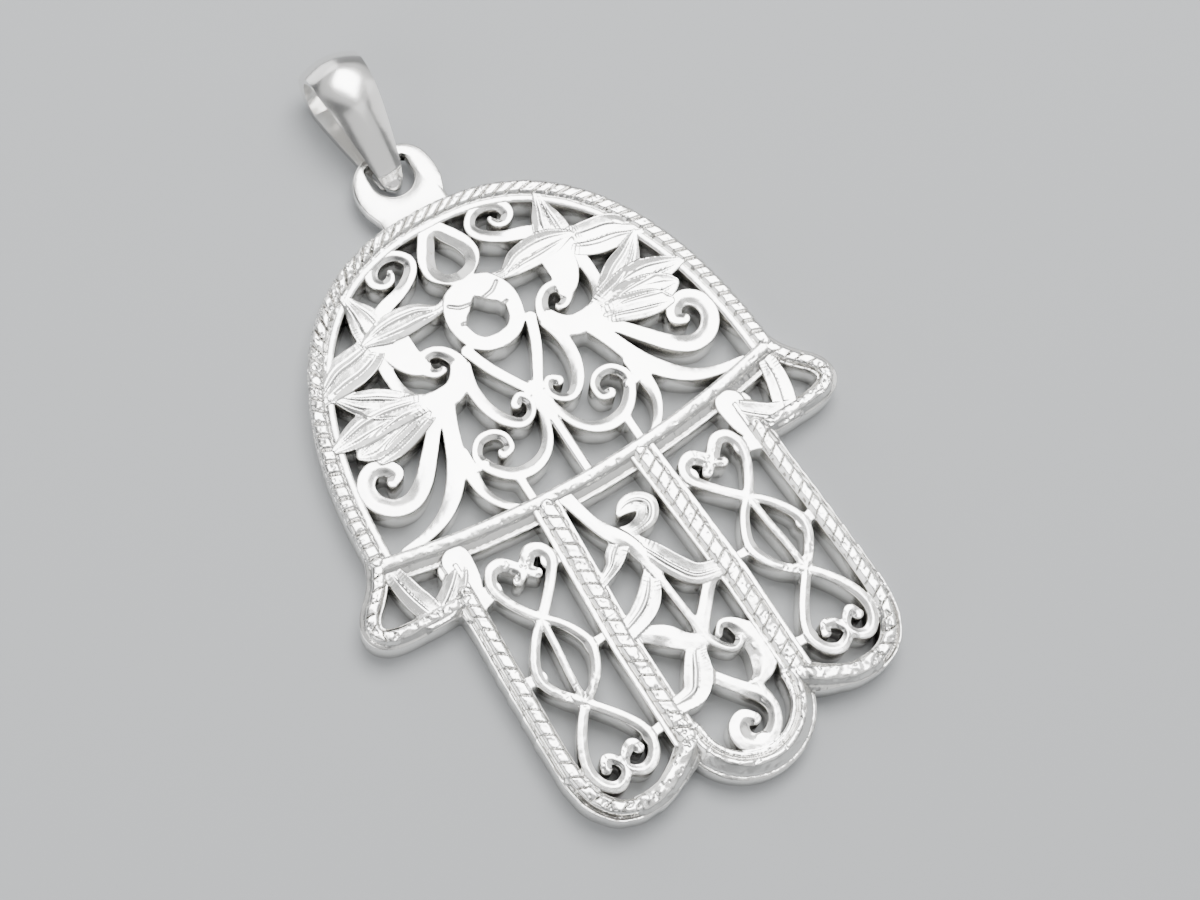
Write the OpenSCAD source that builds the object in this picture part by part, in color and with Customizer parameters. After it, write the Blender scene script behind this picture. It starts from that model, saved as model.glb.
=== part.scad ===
// Hamsa pendant: a pierced, cast hand with a rope border, hung from a tapered bail.
// The hand lies on its back, fingers towards -Y, and the bail is hinged on the eye above the palm.
// The origin is the middle of the band that crosses the hand, on the back face.

/* [Palm] */
// Width of the palm over its rope edge
palm_w = 26.6; // [25:0.1:28.5]
// Height of the palm from the middle of the band to the top of its rope edge
palm_h = 19.1; // [18:0.1:21]
// Width of the band across the hand
band_w = 1.3; // [1:0.05:1.7]
// Height that the band's ends stand above its middle
band_rise = 1.6; // [1:0.05:2.2]

/* [Thumbs] */
// Width of a thumb from the outer finger's edge to its tip
thumb_w = 5.2; // [4.6:0.05:6]
// Depth of a thumb below the middle of the band
thumb_drop = 3.6; // [3.2:0.05:4.2]

/* [Fingers] */
// Length of the outer fingers below the middle of the band
finger_len = 17.2; // [16:0.1:19]
// Distance from the hand's centre line to the middle of an outer finger
finger_pitch = 7.05; // [6.8:0.05:7.6]
// Half width of the open field in an outer finger, with its inner rail
finger_half = 3.3; // [3.1:0.05:3.6]
// Length of the middle finger below the middle of the band
middle_len = 19.05; // [18:0.1:21]

/* [Metal] */
// Thickness of the casting under its relief
plate_t = 1.75; // [1.4:0.05:2]
// Height that scrolls, leaves and rails stand above the plate
scroll_rise = 0.3; // [0.15:0.05:0.5]
// Height that the rope strands stand above the plate
rope_rise = 0.6; // [0.4:0.05:0.8]
// Width of the twisted rope
rope_w = 0.95; // [0.8:0.05:1.1]
// Length of one rope strand along the rope
rope_pitch = 0.8; // [0.7:0.05:1.2]
// Width of the plain rail beside the rope
rail_w = 0.5; // [0.4:0.05:0.6]
// Full width that the scroll tables call one hundred
scroll_w = 1.4; // [1.25:0.05:1.6]
// Shoulder between the edge of a scroll and its raised crown
shoulder = 0.1; // [0.06:0.01:0.14]
// Fillet where cast scrolls meet
fillet_r = 0.07; // [0.05:0.01:0.1]

/* [Eye] */
// Width of the eye that the bail hangs in
eye_w = 5.2; // [4.8:0.1:6]
// Thickness of the eye
eye_t = 0.8; // [0.7:0.05:0.9]
// Width of the hole in the eye
eye_hole_w = 2.6; // [2.5:0.05:3]
// Height of the hole in the eye
eye_hole_h = 2.5; // [2.4:0.05:3]
// Width of the bar above the hole, which the bail swings on
eye_bar_w = 0.7; // [0.6:0.05:0.8]
// Distance from the palm's rope edge to the hole
eye_foot = 1.45; // [1.3:0.05:2]

/* [Bail] */
// Length of the bail from its tip to its top
bail_len = 9; // [8.6:0.1:12]
// Depth of the bail from front to back near its top
bail_depth = 4.6; // [4:0.1:5.4]
// Width of the bail at its top
bail_top_w = 3.5; // [3:0.1:4.4]
// Width of the bail where it passes through the eye
bail_neck_w = 2; // [1.6:0.05:2.1]
// Length of the soldered tip beyond the eye's bar
bail_tip_len = 2.25; // [1.9:0.05:2.3]
// Thickness of the bail's strip
bail_t = 0.55; // [0.45:0.05:0.6]
// Clear gap all round the eye's bar inside the bail
bail_gap = 0.12; // [0.1:0.01:0.2]

/* [Hidden] */
$fn = 48;
// Steps that a scroll's curve takes between two rows of its table
curve_steps = 2;
// Depth that a raised layer is sunk into the plate under it
bury = 0.15;
// How square the palm's arch is: 2 is an ellipse, more is squarer
arch_power = 2.4;
// Angle of a rope groove from the line of the rope
rope_slant = 52;
// Share of a strand that is left as groove
rope_groove = 0.16;
// Width of a rib on a leaf
rib_w = 0.22;
// Least width of a stroke of metal
least_w = 0.12;
// Metal of a divider beyond its rope and rail
divider_more = 0.15;
// How far the rope lies in from the edges of its bed, on the arch and outer fingers and on the thumbs
rope_inset = 0.06;
thumb_rope_inset = 0.1;
// Growth that lets raised layers share metal where they only touch
touch = 0.01;
// Half the distance over which a path's direction is taken
probe = 0.1;
// Radius of the eye hole's upper corners
eye_corner_r = 0.25;
// Radius of the bail's soldered tip, seen from the side
bail_tip_r = 0.3;

palm_half = palm_w / 2;
finger_edge = finger_pitch + finger_half * 1.03;
divider_x = finger_pitch - finger_half * 1.02;
divider_top_x = divider_x - finger_half * 0.15;
divider_w = rope_w + rail_w + divider_more;
rim_w = rope_w + rail_w;
middle_r = divider_x + rim_w * 0.3;
middle_mid = middle_r - middle_len;
relief_z = plate_t - bury;
bar_y = palm_h + eye_foot + eye_hole_h + eye_bar_w / 2;
// Inner and outer radius of the bail's bend round the bar's corners
bend_in = norm([eye_bar_w / 2, eye_t / 2]) + bail_gap;
bend_out = bend_in + bail_t;
top_r = bail_depth / 2;
bail_reach = bail_len - bail_tip_len - top_r;
// The bail lies with its back leaf flat on the surface that the hand lies on
bail_tilt = asin((top_r - bend_out) / bail_reach);
bar_z = bend_out;

/* The scroll tables. Each row is a point on a scroll's middle line: across, out and width.
   Across is in hundredths of the half width and out in hundredths of the length of the field
   that the scroll fills, and width is in hundredths of scroll_w. */

// Palm field: across from the centre line, out from the band towards the top
TEARDROP = [[0, 74.8, 50], [5, 75.6, 54], [9.6, 79.4, 66], [8.8, 84.4, 72], [4.4, 89.8, 70], [0.4, 95.6, 46]];
RING = [[0, 71, 84], [8, 69.6, 74], [12.8, 65, 64], [13.2, 60, 66], [10.8, 54.8, 66], [5.8, 51.8, 64], [0, 51.2, 64]];
RING_CHEEK = [[1, 70, 64], [6, 66.6, 66], [9.6, 62.6, 50]];
UPPER_SCROLL = [
  [45, 73.6, 60], [36, 77, 60], [26, 79.4, 54], [18.2, 83, 54], [15.6, 87, 50], [19.4, 90.4, 44],
  [26, 91.4, 50], [32, 89.4, 56], [33.4, 86, 54], [30.6, 83.8, 44], [27, 84.2, 40], [25.2, 86.2, 28]
];
UPPER_STEM = [[8, 70.4, 46], [16, 68.8, 42], [21, 69.2, 76], [26, 70.2, 112], [34, 70.6, 130], [46, 70, 110]];
LEAF_A_UP = [[44, 70, 80], [46.6, 74.6, 124], [47.4, 79.4, 98], [48.8, 86.6, 40]];
LEAF_A_OUT = [[44, 69.6, 80], [52, 66.2, 146], [60, 64, 164], [68, 63, 130], [75, 61.8, 70], [82, 60, 34]];
LEAF_A_DOWN = [[40, 69, 110], [39.4, 64, 120], [38.6, 59.6, 92]];
INNER_CURL = [
  [47, 68, 80], [49, 63, 64], [49.8, 57, 54], [48.8, 51, 56], [45, 46.2, 66], [38, 43.4, 70], [30.5, 43.2, 68],
  [24.6, 46, 66], [21.6, 50.4, 62], [23.4, 55, 54], [28, 57.8, 46], [33.2, 57.6, 50], [35.4, 54.4, 48], [32.6, 51.8, 42],
  [29, 51.4, 32]
];
LEAF_B_UP = [[46, 46.4, 60], [54, 49.4, 90], [62, 52.2, 114], [69, 55.4, 84], [76, 60.2, 24]];
LEAF_B_OUT = [[40, 45, 60], [50, 45.2, 90], [62, 46, 116], [73, 45.6, 90], [82, 44.6, 60], [90, 44, 40]];
LEAF_B_DOWN = [[38, 43.4, 60], [48, 41.6, 90], [58, 39.6, 118], [67, 38.4, 126], [74, 37.4, 80], [79, 36, 36]];
BEAD_SCROLL = [
  [39, 42.6, 40], [46, 37, 56], [54, 30.4, 66], [62, 24.4, 74], [70, 21.2, 78], [78, 22, 78],
  [83.4, 26.4, 76], [83.4, 31.6, 74], [78.4, 34.8, 70], [72.6, 34, 64], [69.8, 31, 66], [72.8, 29, 46]
];
LONG_STEM = [[34, 44, 62], [39.6, 35.4, 66], [45, 26, 76], [52, 18.6, 74], [61, 13, 60], [72, 10, 46], [84, 9, 34]];
BRANCH_STEM = [[42, 26, 60], [43, 19, 58], [42.6, 12.6, 44], [38.6, 7, 38], [32, 2.6, 34]];
RING_STEM = [[16, 53, 46], [11.6, 45, 46], [5.6, 37.4, 44], [0, 31, 40]];
INNER_LOOP = [
  [21, 49, 60], [22.8, 42, 54], [21.8, 34.6, 54], [18, 28.8, 54], [12.6, 25.6, 46], [7.4, 26.6, 38],
  [5, 30, 36], [7.4, 32.8, 40], [10.6, 31.4, 44]
];
STEM_FILL = [[23, 50, 60], [26, 46, 84], [31, 44, 90], [38, 44, 84], [46, 45.6, 60]];
BOWL_SCROLL = [
  [1.6, 31, 26], [3.2, 24, 34], [7, 17.6, 44], [13, 13.6, 54], [20.6, 12.2, 60], [28.6, 13.8, 58], [34.8, 18.4, 50],
  [36.6, 23.2, 44], [32.6, 26.8, 42], [26.8, 27, 42], [22.8, 24.6, 40], [23, 21, 42], [26.6, 20.2, 46]
];
BOWL_TIE = [[36, 20, 34], [42, 20.6, 40]];
AXIS_STRUT = [[0, 34, 40], [0, 20, 32], [0, 1, 32]];
BOWL_STRUT = [[26.6, 12, 34], [26.6, 1, 34]];
PALM_SCROLLS = [
  TEARDROP, RING, RING_CHEEK, UPPER_SCROLL, UPPER_STEM, LEAF_A_UP, LEAF_A_OUT, LEAF_A_DOWN, INNER_CURL, LEAF_B_UP,
  LEAF_B_OUT, LEAF_B_DOWN, BEAD_SCROLL, LONG_STEM, BRANCH_STEM, RING_STEM, INNER_LOOP, STEM_FILL, BOWL_SCROLL,
  BOWL_TIE, AXIS_STRUT, BOWL_STRUT
];
PALM_LEAVES = [LEAF_A_UP, LEAF_A_OUT, LEAF_A_DOWN, LEAF_B_UP, LEAF_B_OUT, LEAF_B_DOWN];

// Outer finger's field: across outwards from its middle, out from the band towards the tip
HEART_INNER = [
  [-8, 31, 44], [-33, 26.2, 42], [-58, 20.8, 42], [-75, 15.8, 46], [-71, 11.6, 54], [-53, 10.2, 62], [-39, 12.2, 60],
  [-33, 14.8, 50], [-43, 17.2, 44]
];
HEART_OUTER = [
  [-8, 31, 42], [12, 25.6, 40], [28, 19.6, 40], [33, 14, 44], [22, 9.8, 54], [4, 9.2, 58], [-12, 11.8, 56],
  [-20, 14.8, 48], [-9, 16.6, 42]
];
LENS_INNER = [[-8, 31, 36], [-28, 34.8, 38], [-46, 40.6, 42], [-53, 46, 44], [-44, 51.6, 42], [-24, 56.8, 40], [6, 61, 38]];
LENS_OUTER = [[-8, 31, 36], [14, 34.6, 38], [34, 39.6, 40], [47, 44.8, 42], [47, 49.8, 42], [32, 55, 40], [6, 61, 38]];
LENS_BAR = [[-7, 31, 32], [-3, 41, 30], [3, 51, 30], [6, 61, 32]];
DROP_INNER = [
  [6, 61, 38], [-13, 65.4, 40], [-34, 70.8, 42], [-50, 76.4, 44], [-53, 81.4, 44], [-42, 85.8, 48], [-22, 88, 50],
  [-3, 86.6, 42], [4, 84, 34], [-4, 81, 40], [-20, 79.4, 48], [-28, 81.6, 42]
];
DROP_OUTER = [
  [6, 61, 38], [25, 65, 40], [45, 70.6, 42], [58, 76.4, 44], [61, 81.4, 44], [52, 86, 46], [34, 88.4, 50],
  [16, 87, 42], [9, 84, 34], [15, 81.2, 38], [28, 79.6, 48], [36, 82, 42]
];
FINGER_TIES = [
  [[-70, 15.4, 60], [-108, 16.2, 60]], [[34, 15, 64], [84, 17.6, 70]], [[-54, 46, 40], [-104, 45.6, 26]],
  [[46, 47, 50], [84, 46, 44]], [[-50, 80, 34], [-104, 79, 50]], [[62, 79.6, 30], [96, 78.6, 30]],
  [[60, 1, 120], [62, 9, 100], [72, 16, 50]]
];
FINGER_SCROLLS = concat(
  [HEART_INNER, HEART_OUTER, LENS_INNER, LENS_OUTER, LENS_BAR, DROP_INNER, DROP_OUTER], FINGER_TIES
);

// Middle finger's field: across to the right of its middle, out from the band towards the tip
TOP_STEM = [[-60, 1, 60], [-47, 10, 54], [-32, 16, 66], [-14, 21, 60], [-4, 27, 56], [0, 34, 40]];
TOP_LEAF = [[-14, 19, 60], [-40, 22.4, 84], [-60, 25.6, 56], [-96, 28.4, 34]];
CUP_LEAF = [[-10, 18.2, 50], [14, 18.8, 58], [38, 17.8, 84], [49, 14.6, 96], [37, 12.2, 86], [18, 11.8, 66], [2, 12.8, 30]];
RIGHT_LEAF = [[0, 22, 56], [16, 28.4, 84], [34, 34.6, 90], [56, 39.6, 86], [96, 41.6, 66]];
RIGHT_RETURN = [[84, 42, 50], [62, 44.6, 50], [40, 48.6, 54], [14, 53.4, 60]];
LEFT_LEAF = [[-5, 31.6, 54], [-28, 37.2, 90], [-50, 40.6, 100], [-76, 42.6, 86], [-104, 44, 80]];
LEFT_RETURN = [[-94, 45, 60], [-66, 48, 76], [-46, 50.6, 90], [-28, 54, 78], [-2, 57.2, 60]];
MIDDLE_BAR = [[-2, 30, 34], [2, 40, 32], [7, 50, 34], [10, 55, 50]];
BELL_LEAF = [[-4, 56, 50], [-22, 60, 90], [-38, 65, 116], [-60, 69, 96], [-104, 69.2, 60]];
COMMA_LEAF = [
  [30, 58, 30], [44, 55.8, 34], [60, 57.2, 50], [72, 61.6, 86], [77, 67, 104], [68, 71.6, 100], [50, 74.4, 60],
  [34, 75, 34]
];
COMMA_CURL = [[8, 56, 40], [24, 61.2, 36], [42, 63.6, 34], [58, 62.4, 36]];
S_SCROLL = [
  [-24, 66, 50], [-3, 71, 54], [18, 75.6, 58], [34, 79.4, 56], [39, 83.4, 52], [30, 87.2, 56], [12, 89.8, 64],
  [-11, 90.4, 76], [-30, 87.6, 84], [-29, 83.8, 84], [-13, 82, 70], [2, 83.8, 50]
];
MIDDLE_TIES = [[[76, 66, 44], [104, 67, 40]], [[-6, 91, 90], [-12, 97, 80]], [[40, 75, 30], [39, 80, 40]]];
MIDDLE_SCROLLS = concat(
  [TOP_STEM, TOP_LEAF, CUP_LEAF, RIGHT_LEAF, RIGHT_RETURN, LEFT_LEAF, LEFT_RETURN, MIDDLE_BAR],
  [BELL_LEAF, COMMA_LEAF, COMMA_CURL, S_SCROLL], MIDDLE_TIES
);
MIDDLE_LEAVES = [RIGHT_LEAF, LEFT_LEAF, BELL_LEAF];

// Rims. Outer finger: the same field, with width in hundredths of rim_w
FINGER_RIM = [
  [80, -6, 80], [82, 25, 78], [86, 40, 76], [89, 55, 74], [91.6, 70, 74], [91, 79, 78], [84, 86.4, 80], [68, 92.2, 80],
  [44, 96, 78], [12, 97.6, 76], [-22, 97.2, 78], [-52, 95, 88], [-78, 92.4, 104], [-104, 89, 120]
];
// Thumb: across from the finger's edge in hundredths of thumb_w, out from the band in hundredths of thumb_drop
THUMB_RIM = [
  [44, 66, 80], [50, 44, 80], [59, 22, 80], [70, 4, 80], [79, -9, 80], [85, -24, 80], [86, -38, 80], [82, -49, 80],
  [73, -58, 78], [57, -63, 76], [35, -65, 74], [8, -66, 72], [-14, -66, 70]
];
THUMB_LEAF = [[37, 40, 60], [35, 10, 84], [32, -15, 94], [27, -40, 98], [21, -64, 60]];
THUMB_SPRIG = [[-34, 6, 40], [-22, -20, 70], [-6, -42, 92], [10, -57, 96], [30, -62, 70]];
THUMB_LEAVES = [THUMB_LEAF, THUMB_SPRIG];

// A point between rows b and c of a curve through rows a, b, c and d
function between(a, b, c, d, t) =
  0.5 * (2 * b + (c - a) * t + (2 * a - 5 * b + 4 * c - d) * t * t + (3 * b - a - 3 * c + d) * t * t * t);
// The smooth curve through a table's rows
function curve(rows, steps = curve_steps) = [
  for (i = [0 : len(rows) - 2], s = [0 : steps - 1])
    between(rows[max(i - 1, 0)], rows[i], rows[i + 1], rows[min(i + 2, len(rows) - 1)], s / steps),
  rows[len(rows) - 1]
];
// A table's rows as real sizes: middle, half width, length of the field and full stroke width
function sized(rows, mid, half, reach, full) = [
  for (r = rows) [mid + r[0] / 100 * half, r[1] / 100 * reach, r[2] / 100 * full]
];
function along(path, i) =
  let (a = path[max(i - 1, 0)], b = path[min(i + 1, len(path) - 1)], d = [b[0] - a[0], b[1] - a[1]]) d / norm(d);
function side(path, i, share) = let (d = along(path, i)) [path[i][0], path[i][1]] + share * path[i][2] / 2 * [-d[1], d[0]];

// One scroll, as short four-sided pieces between round ends; slim takes metal off both its edges
module stroke(path, slim = 0) {
  thin = [for (p = path) [p[0], p[1], max(p[2] - 2 * slim, least_w)]];
  last = len(thin) - 1;
  for (i = [0 : last - 1])
    polygon([side(thin, i, 1), side(thin, i, -1), side(thin, i + 1, -1), side(thin, i + 1, 1)]);
  for (i = [0, last])
    translate([thin[i][0], thin[i][1]])
      rotate(atan2(along(thin, i)[1], along(thin, i)[0]))
        circle(d = thin[i][2], $fn = 8);
}
// A rib that follows the middle part of a leaf at a share of its half width, ending square
module rib(path, share) {
  line = [for (i = [1 : len(path) - 2]) let (p = side(path, i, share)) [p[0], p[1], rib_w]];
  for (i = [0 : len(line) - 2])
    polygon([side(line, i, 1), side(line, i, -1), side(line, i + 1, -1), side(line, i + 1, 1)]);
}
module both_sides() {
  children();
  mirror([1, 0, 0]) children();
}

// The tables at their real sizes
function in_palm(rows) = curve(sized(rows, 0, palm_half, palm_h, scroll_w));
function in_finger(rows) = curve(sized(rows, finger_pitch, finger_half, -finger_len, scroll_w));
function in_middle(rows) = curve(sized(rows, 0, finger_half, -middle_len, scroll_w));
function in_thumb(rows) = curve(sized(rows, finger_edge, thumb_w, thumb_drop, scroll_w));
function finger_rim() = curve(sized(FINGER_RIM, finger_pitch, finger_half, -finger_len, rim_w));
function thumb_rim() = curve(sized(THUMB_RIM, finger_edge, thumb_w, thumb_drop, rim_w));

// Middle line of the palm's arch, set in from its outer edge
function arch(inset, width, from = 3, to = 177, steps = 36) = [
  for (i = [0 : steps])
    let (t = from + (to - from) * i / steps, p = 2 / arch_power)
      [(palm_half - inset) * sign(cos(t)) * pow(abs(cos(t)), p), (palm_h - inset) * pow(sin(t), p), width]
];
function band_y(x) = band_rise * pow(x / palm_half, 2);
function band_line(lift, width, reach = 0.95) = [
  for (i = [-8 : 8]) let (x = i / 8 * reach * palm_half) [x, band_y(x) + lift, width]
];
function divider_line(offset_x, width, out = 1) = [
  for (s = [0, 0.3, 0.6, out])
    [divider_top_x + (divider_x - divider_top_x) * min(s / 0.6, 1) + offset_x, middle_mid * s, width]
];
function middle_rim(inset, width) = [
  for (a = [180 : 10 : 360]) [(middle_r - inset) * cos(a), middle_mid + (middle_r - inset) * sin(a), width]
];

module palm_scrolls(slim = 0) {
  both_sides()
    for (rows = PALM_SCROLLS) stroke(in_palm(rows), slim);
}
module finger_scrolls() {
  both_sides() {
    for (rows = FINGER_SCROLLS) stroke(in_finger(rows));
    for (rows = THUMB_LEAVES) stroke(in_thumb(rows));
  }
  for (rows = MIDDLE_SCROLLS) stroke(in_middle(rows));
}

// Closes the sharp corners between scrolls with small fillets
module filleted() {
  offset(delta = -fillet_r)
    offset(delta = fillet_r)
      children();
}
module palm_plan() {
  filleted() {
    stroke(arch(rim_w * 0.45, rim_w * 0.9));
    stroke(band_line(0, band_w));
    palm_scrolls();
  }
}
module finger_plan() {
  filleted() {
    stroke(middle_rim(rim_w / 2, rim_w));
    both_sides() {
      stroke(divider_line(0, divider_w));
      stroke(finger_rim());
      stroke(thumb_rim());
    }
    finger_scrolls();
  }
}

// A path's running length, and the point and direction at a length
function lengths(path) = [
  for (i = 0, s = 0; i < len(path); s = s + (i < len(path) - 1 ? step_len(path, i) : 0), i = i + 1) s
];
function step_len(path, i) = norm([path[i + 1][0] - path[i][0], path[i + 1][1] - path[i][1]]);
function at_len(path, keys, s) = [
  lookup(s, [for (i = [0 : len(path) - 1]) [keys[i], path[i][0]]]),
  lookup(s, [for (i = [0 : len(path) - 1]) [keys[i], path[i][1]]])
];
function beside(path, keys, s, off) =
  let (a = at_len(path, keys, s - probe), b = at_len(path, keys, s + probe), d = (b - a) / norm(b - a))
    at_len(path, keys, s) + off * [-d[1], d[0]];

// Twisted rope along a path, one slanted piece a strand
module rope(path, width, slant = rope_slant) {
  keys = lengths(path);
  total = keys[len(keys) - 1] - 2 * rope_w;
  n = round(total / rope_pitch);
  step = total / n;
  half = step * (1 - rope_groove) / 2;
  lean = width / 2 / tan(slant);
  for (k = [0 : n - 1]) {
    mid = rope_w + (k + 0.5) * step;
    polygon([
      beside(path, keys, mid - half + lean, width / 2), beside(path, keys, mid - half - lean, -width / 2),
      beside(path, keys, mid + half - lean, -width / 2), beside(path, keys, mid + half + lean, width / 2)
    ]);
  }
}

module ropes() {
  rope(arch(rope_w / 2, rope_w, 6, 174), rope_w - rope_inset);
  both_sides() {
    rope(divider_line(-rail_w / 2, 1, 0.96), rope_w, -rope_slant);
    rope([for (i = [6 : 24]) finger_rim()[i] + [rail_w / 2, 0, 0]], rope_w - rope_inset);
    rope([for (i = [1 : 18]) thumb_rim()[i] + [rail_w / 4, 0, 0]], rope_w - thumb_rope_inset, -rope_slant);
  }
}

module palm_relief() {
  offset(delta = touch)
    difference() {
      union() {
        palm_scrolls(shoulder);
        stroke(arch(rope_w + rail_w * 0.35, rail_w * 0.5));
      }
      stroke(arch(rope_w / 2, rope_w));
      stroke(band_line(0, band_w));
    }
}
// Raised rails of the fingers, the dividers and the band
module rails() {
  offset(delta = touch) {
    stroke(middle_rim(rim_w * 0.62, rim_w * 0.5));
    both_sides() stroke(divider_line(divider_w / 2 - rail_w / 2, rail_w * 0.6));
    stroke(band_line(band_w * 0.12, band_w * 0.45));
  }
}

// Ribs along the leaves
module ribs() {
  both_sides() {
    for (rows = PALM_LEAVES, share = [-0.5, 0.1]) rib(in_palm(rows), share);
    for (rows = THUMB_LEAVES, share = [-0.45, 0.45]) rib(in_thumb(rows), share);
  }
  for (rows = MIDDLE_LEAVES, share = [-0.4, 0.4]) rib(in_middle(rows), share);
}

module eye_plan() {
  mid_y = bar_y + eye_bar_w / 2 - eye_w / 2;
  difference() {
    union() {
      translate([0, mid_y]) circle(d = eye_w);
      translate([-eye_w * 0.42, palm_h - rope_w * 1.1]) square([eye_w * 0.84, mid_y - palm_h + rope_w * 1.1]);
    }
    eye_hole();
  }
}
// The hole: flat under the bar, round at its foot
module eye_hole() {
  top = bar_y - eye_bar_w / 2;
  r = eye_hole_w / 2;
  hull() {
    translate([0, top - eye_hole_h + r]) circle(r = r);
    for (x = [-1, 1])
      translate([x * (r - eye_corner_r), top - eye_corner_r])
        circle(r = eye_corner_r, $fn = 24);
  }
}

module hand() {
  color("silver") {
    linear_extrude(plate_t) palm_plan();
    linear_extrude(plate_t + scroll_rise) finger_plan();
    translate([0, 0, relief_z]) linear_extrude(bury + scroll_rise) palm_relief();
    translate([0, 0, relief_z]) linear_extrude(bury + rope_rise) offset(delta = touch) ropes();
    translate([0, 0, relief_z]) linear_extrude(bury + scroll_rise * 1.5) offset(delta = touch) ribs();
    translate([0, 0, relief_z]) linear_extrude(bury + scroll_rise * 1.4) rails();
    translate([0, 0, bar_z - eye_t / 2]) linear_extrude(eye_t) offset(delta = touch) eye_plan();
  }
}

// The bail seen from its side: a closed loop round the bar, drawn to a soldered tip
module bail_side() {
  difference() {
    union() {
      hull() {
        circle(r = bend_out);
        translate([bail_reach, 0]) circle(r = top_r);
      }
      hull() {
        circle(r = bend_out);
        translate([bail_tip_r - bail_tip_len, 0]) circle(r = bail_tip_r);
      }
    }
    hull() {
      circle(r = bend_in);
      translate([bail_reach, 0]) circle(r = top_r - bail_t);
    }
  }
}
// The bail seen from its front, as half widths at distances from the bar
module bail_front() {
  neck = bail_neck_w / 2;
  top = bail_top_w / 2;
  grow = top - neck;
  end = bail_reach + top_r;
  right = [
    [-bail_tip_len, neck * 0.25], [-bail_tip_len * 0.7, neck * 0.62], [0, neck], [end * 0.3, neck + grow * 0.4],
    [end * 0.6, neck + grow * 0.75], [end, top]
  ];
  polygon(concat(right, [for (i = [len(right) - 1 : -1 : 0]) [right[i][0], -right[i][1]]]));
}
module bail() {
  color("gainsboro")
    translate([0, bar_y, bar_z])
      rotate([bail_tilt, 0, 0])
        rotate([0, 0, 90])
          intersection() {
            rotate([90, 0, 0]) linear_extrude(bail_top_w * 1.2, center = true) bail_side();
            linear_extrude(bail_depth * 1.2, center = true) bail_front();
          }
}

hand();
bail();
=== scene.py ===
"""The looks of a cast silver hamsa pendant, built over its CAD frame.

Each field of the casting is a relief. Strokes run along curves, and each has a rule for the height of its
top. Together they shape one grid, which is cut to their outline, bevelled along it and closed below. All
lengths are in millimetres, in the CAD frame's axes, apart from the settings, which are in metres.
"""

import math

import bpy
import numpy as np
from mathutils import Euler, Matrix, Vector


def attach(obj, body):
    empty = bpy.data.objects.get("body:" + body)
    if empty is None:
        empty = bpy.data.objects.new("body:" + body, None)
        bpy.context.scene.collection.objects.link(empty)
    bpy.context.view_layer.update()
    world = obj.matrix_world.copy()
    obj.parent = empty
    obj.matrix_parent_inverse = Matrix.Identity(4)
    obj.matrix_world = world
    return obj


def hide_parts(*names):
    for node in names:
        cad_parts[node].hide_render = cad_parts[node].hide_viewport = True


bl_info = {
    "name": "Hamsa pendant",
    "version": (1, 0, 0),
    "blender": (4, 5, 0),
    "location": "View3D > Sidebar > Pendant",
    "description": "Builds the casting, the rope border and the bail of a hamsa pendant",
    "category": "Object",
}

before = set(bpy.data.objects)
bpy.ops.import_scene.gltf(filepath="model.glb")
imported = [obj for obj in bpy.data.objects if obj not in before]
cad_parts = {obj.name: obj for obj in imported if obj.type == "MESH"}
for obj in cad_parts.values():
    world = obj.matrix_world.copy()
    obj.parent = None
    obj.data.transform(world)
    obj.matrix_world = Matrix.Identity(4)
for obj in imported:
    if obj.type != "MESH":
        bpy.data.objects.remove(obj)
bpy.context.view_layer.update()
MM = 0.001

# Sizes, as in the CAD source
# Palm, thumbs and fingers
PALM_HALF, PALM_H = 13.3, 19.1
THUMB_W, THUMB_DROP = 5.2, 3.6
FINGER_LEN, FINGER_PITCH, FINGER_HALF = 17.2, 7.05, 3.3
MIDDLE_LEN = 19.05
# Widths of a full stroke, the rope and the rail beside it, the band, and the plate's thickness
SCROLL_W = 1.4
ROPE_W, RAIL_W = 0.95, 0.5
RIM_W = ROPE_W + RAIL_W
BAND_W, BAND_RISE = 1.3, 1.6
PLATE_T = 1.75
# Superellipse power of the palm's arch
ARCH_POWER = 2.4
# Outer edge of the fingers, dividers beside the middle finger and its round end
FINGER_EDGE = FINGER_PITCH + FINGER_HALF * 1.03
DIVIDER_X = FINGER_PITCH - FINGER_HALF * 1.02
DIVIDER_TOP_X = DIVIDER_X - FINGER_HALF * 0.15
DIVIDER_W = RIM_W + 0.15
MIDDLE_R = DIVIDER_X + RIM_W * 0.3
MIDDLE_MID = MIDDLE_R - MIDDLE_LEN
# Eye, with its hole, the bar over the hole and the foot under it
EYE_W, EYE_T, EYE_HOLE_W, EYE_HOLE_H, EYE_BAR_W, EYE_FOOT = 5.2, 0.8, 2.6, 2.5, 0.7, 1.45
# Bail, with its strip's thickness, its gap round the bar, and the bends round the bar and over the top
BAIL_LEN, BAIL_DEPTH, BAIL_TOP_W, BAIL_NECK_W, BAIL_TIP = 9.0, 4.6, 3.5, 2.0, 2.25
BAIL_T, BAIL_GAP = 0.55, 0.12
BAR_Y = PALM_H + EYE_FOOT + EYE_HOLE_H + EYE_BAR_W / 2
BEND_IN = math.hypot(EYE_BAR_W / 2, EYE_T / 2) + BAIL_GAP
BEND_OUT = BEND_IN + BAIL_T
TOP_R = BAIL_DEPTH / 2
BAIL_REACH = BAIL_LEN - BAIL_TIP - TOP_R
BAIL_TILT = math.asin((TOP_R - BEND_OUT) / BAIL_REACH)
BAR_Z = BEND_OUT

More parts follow.
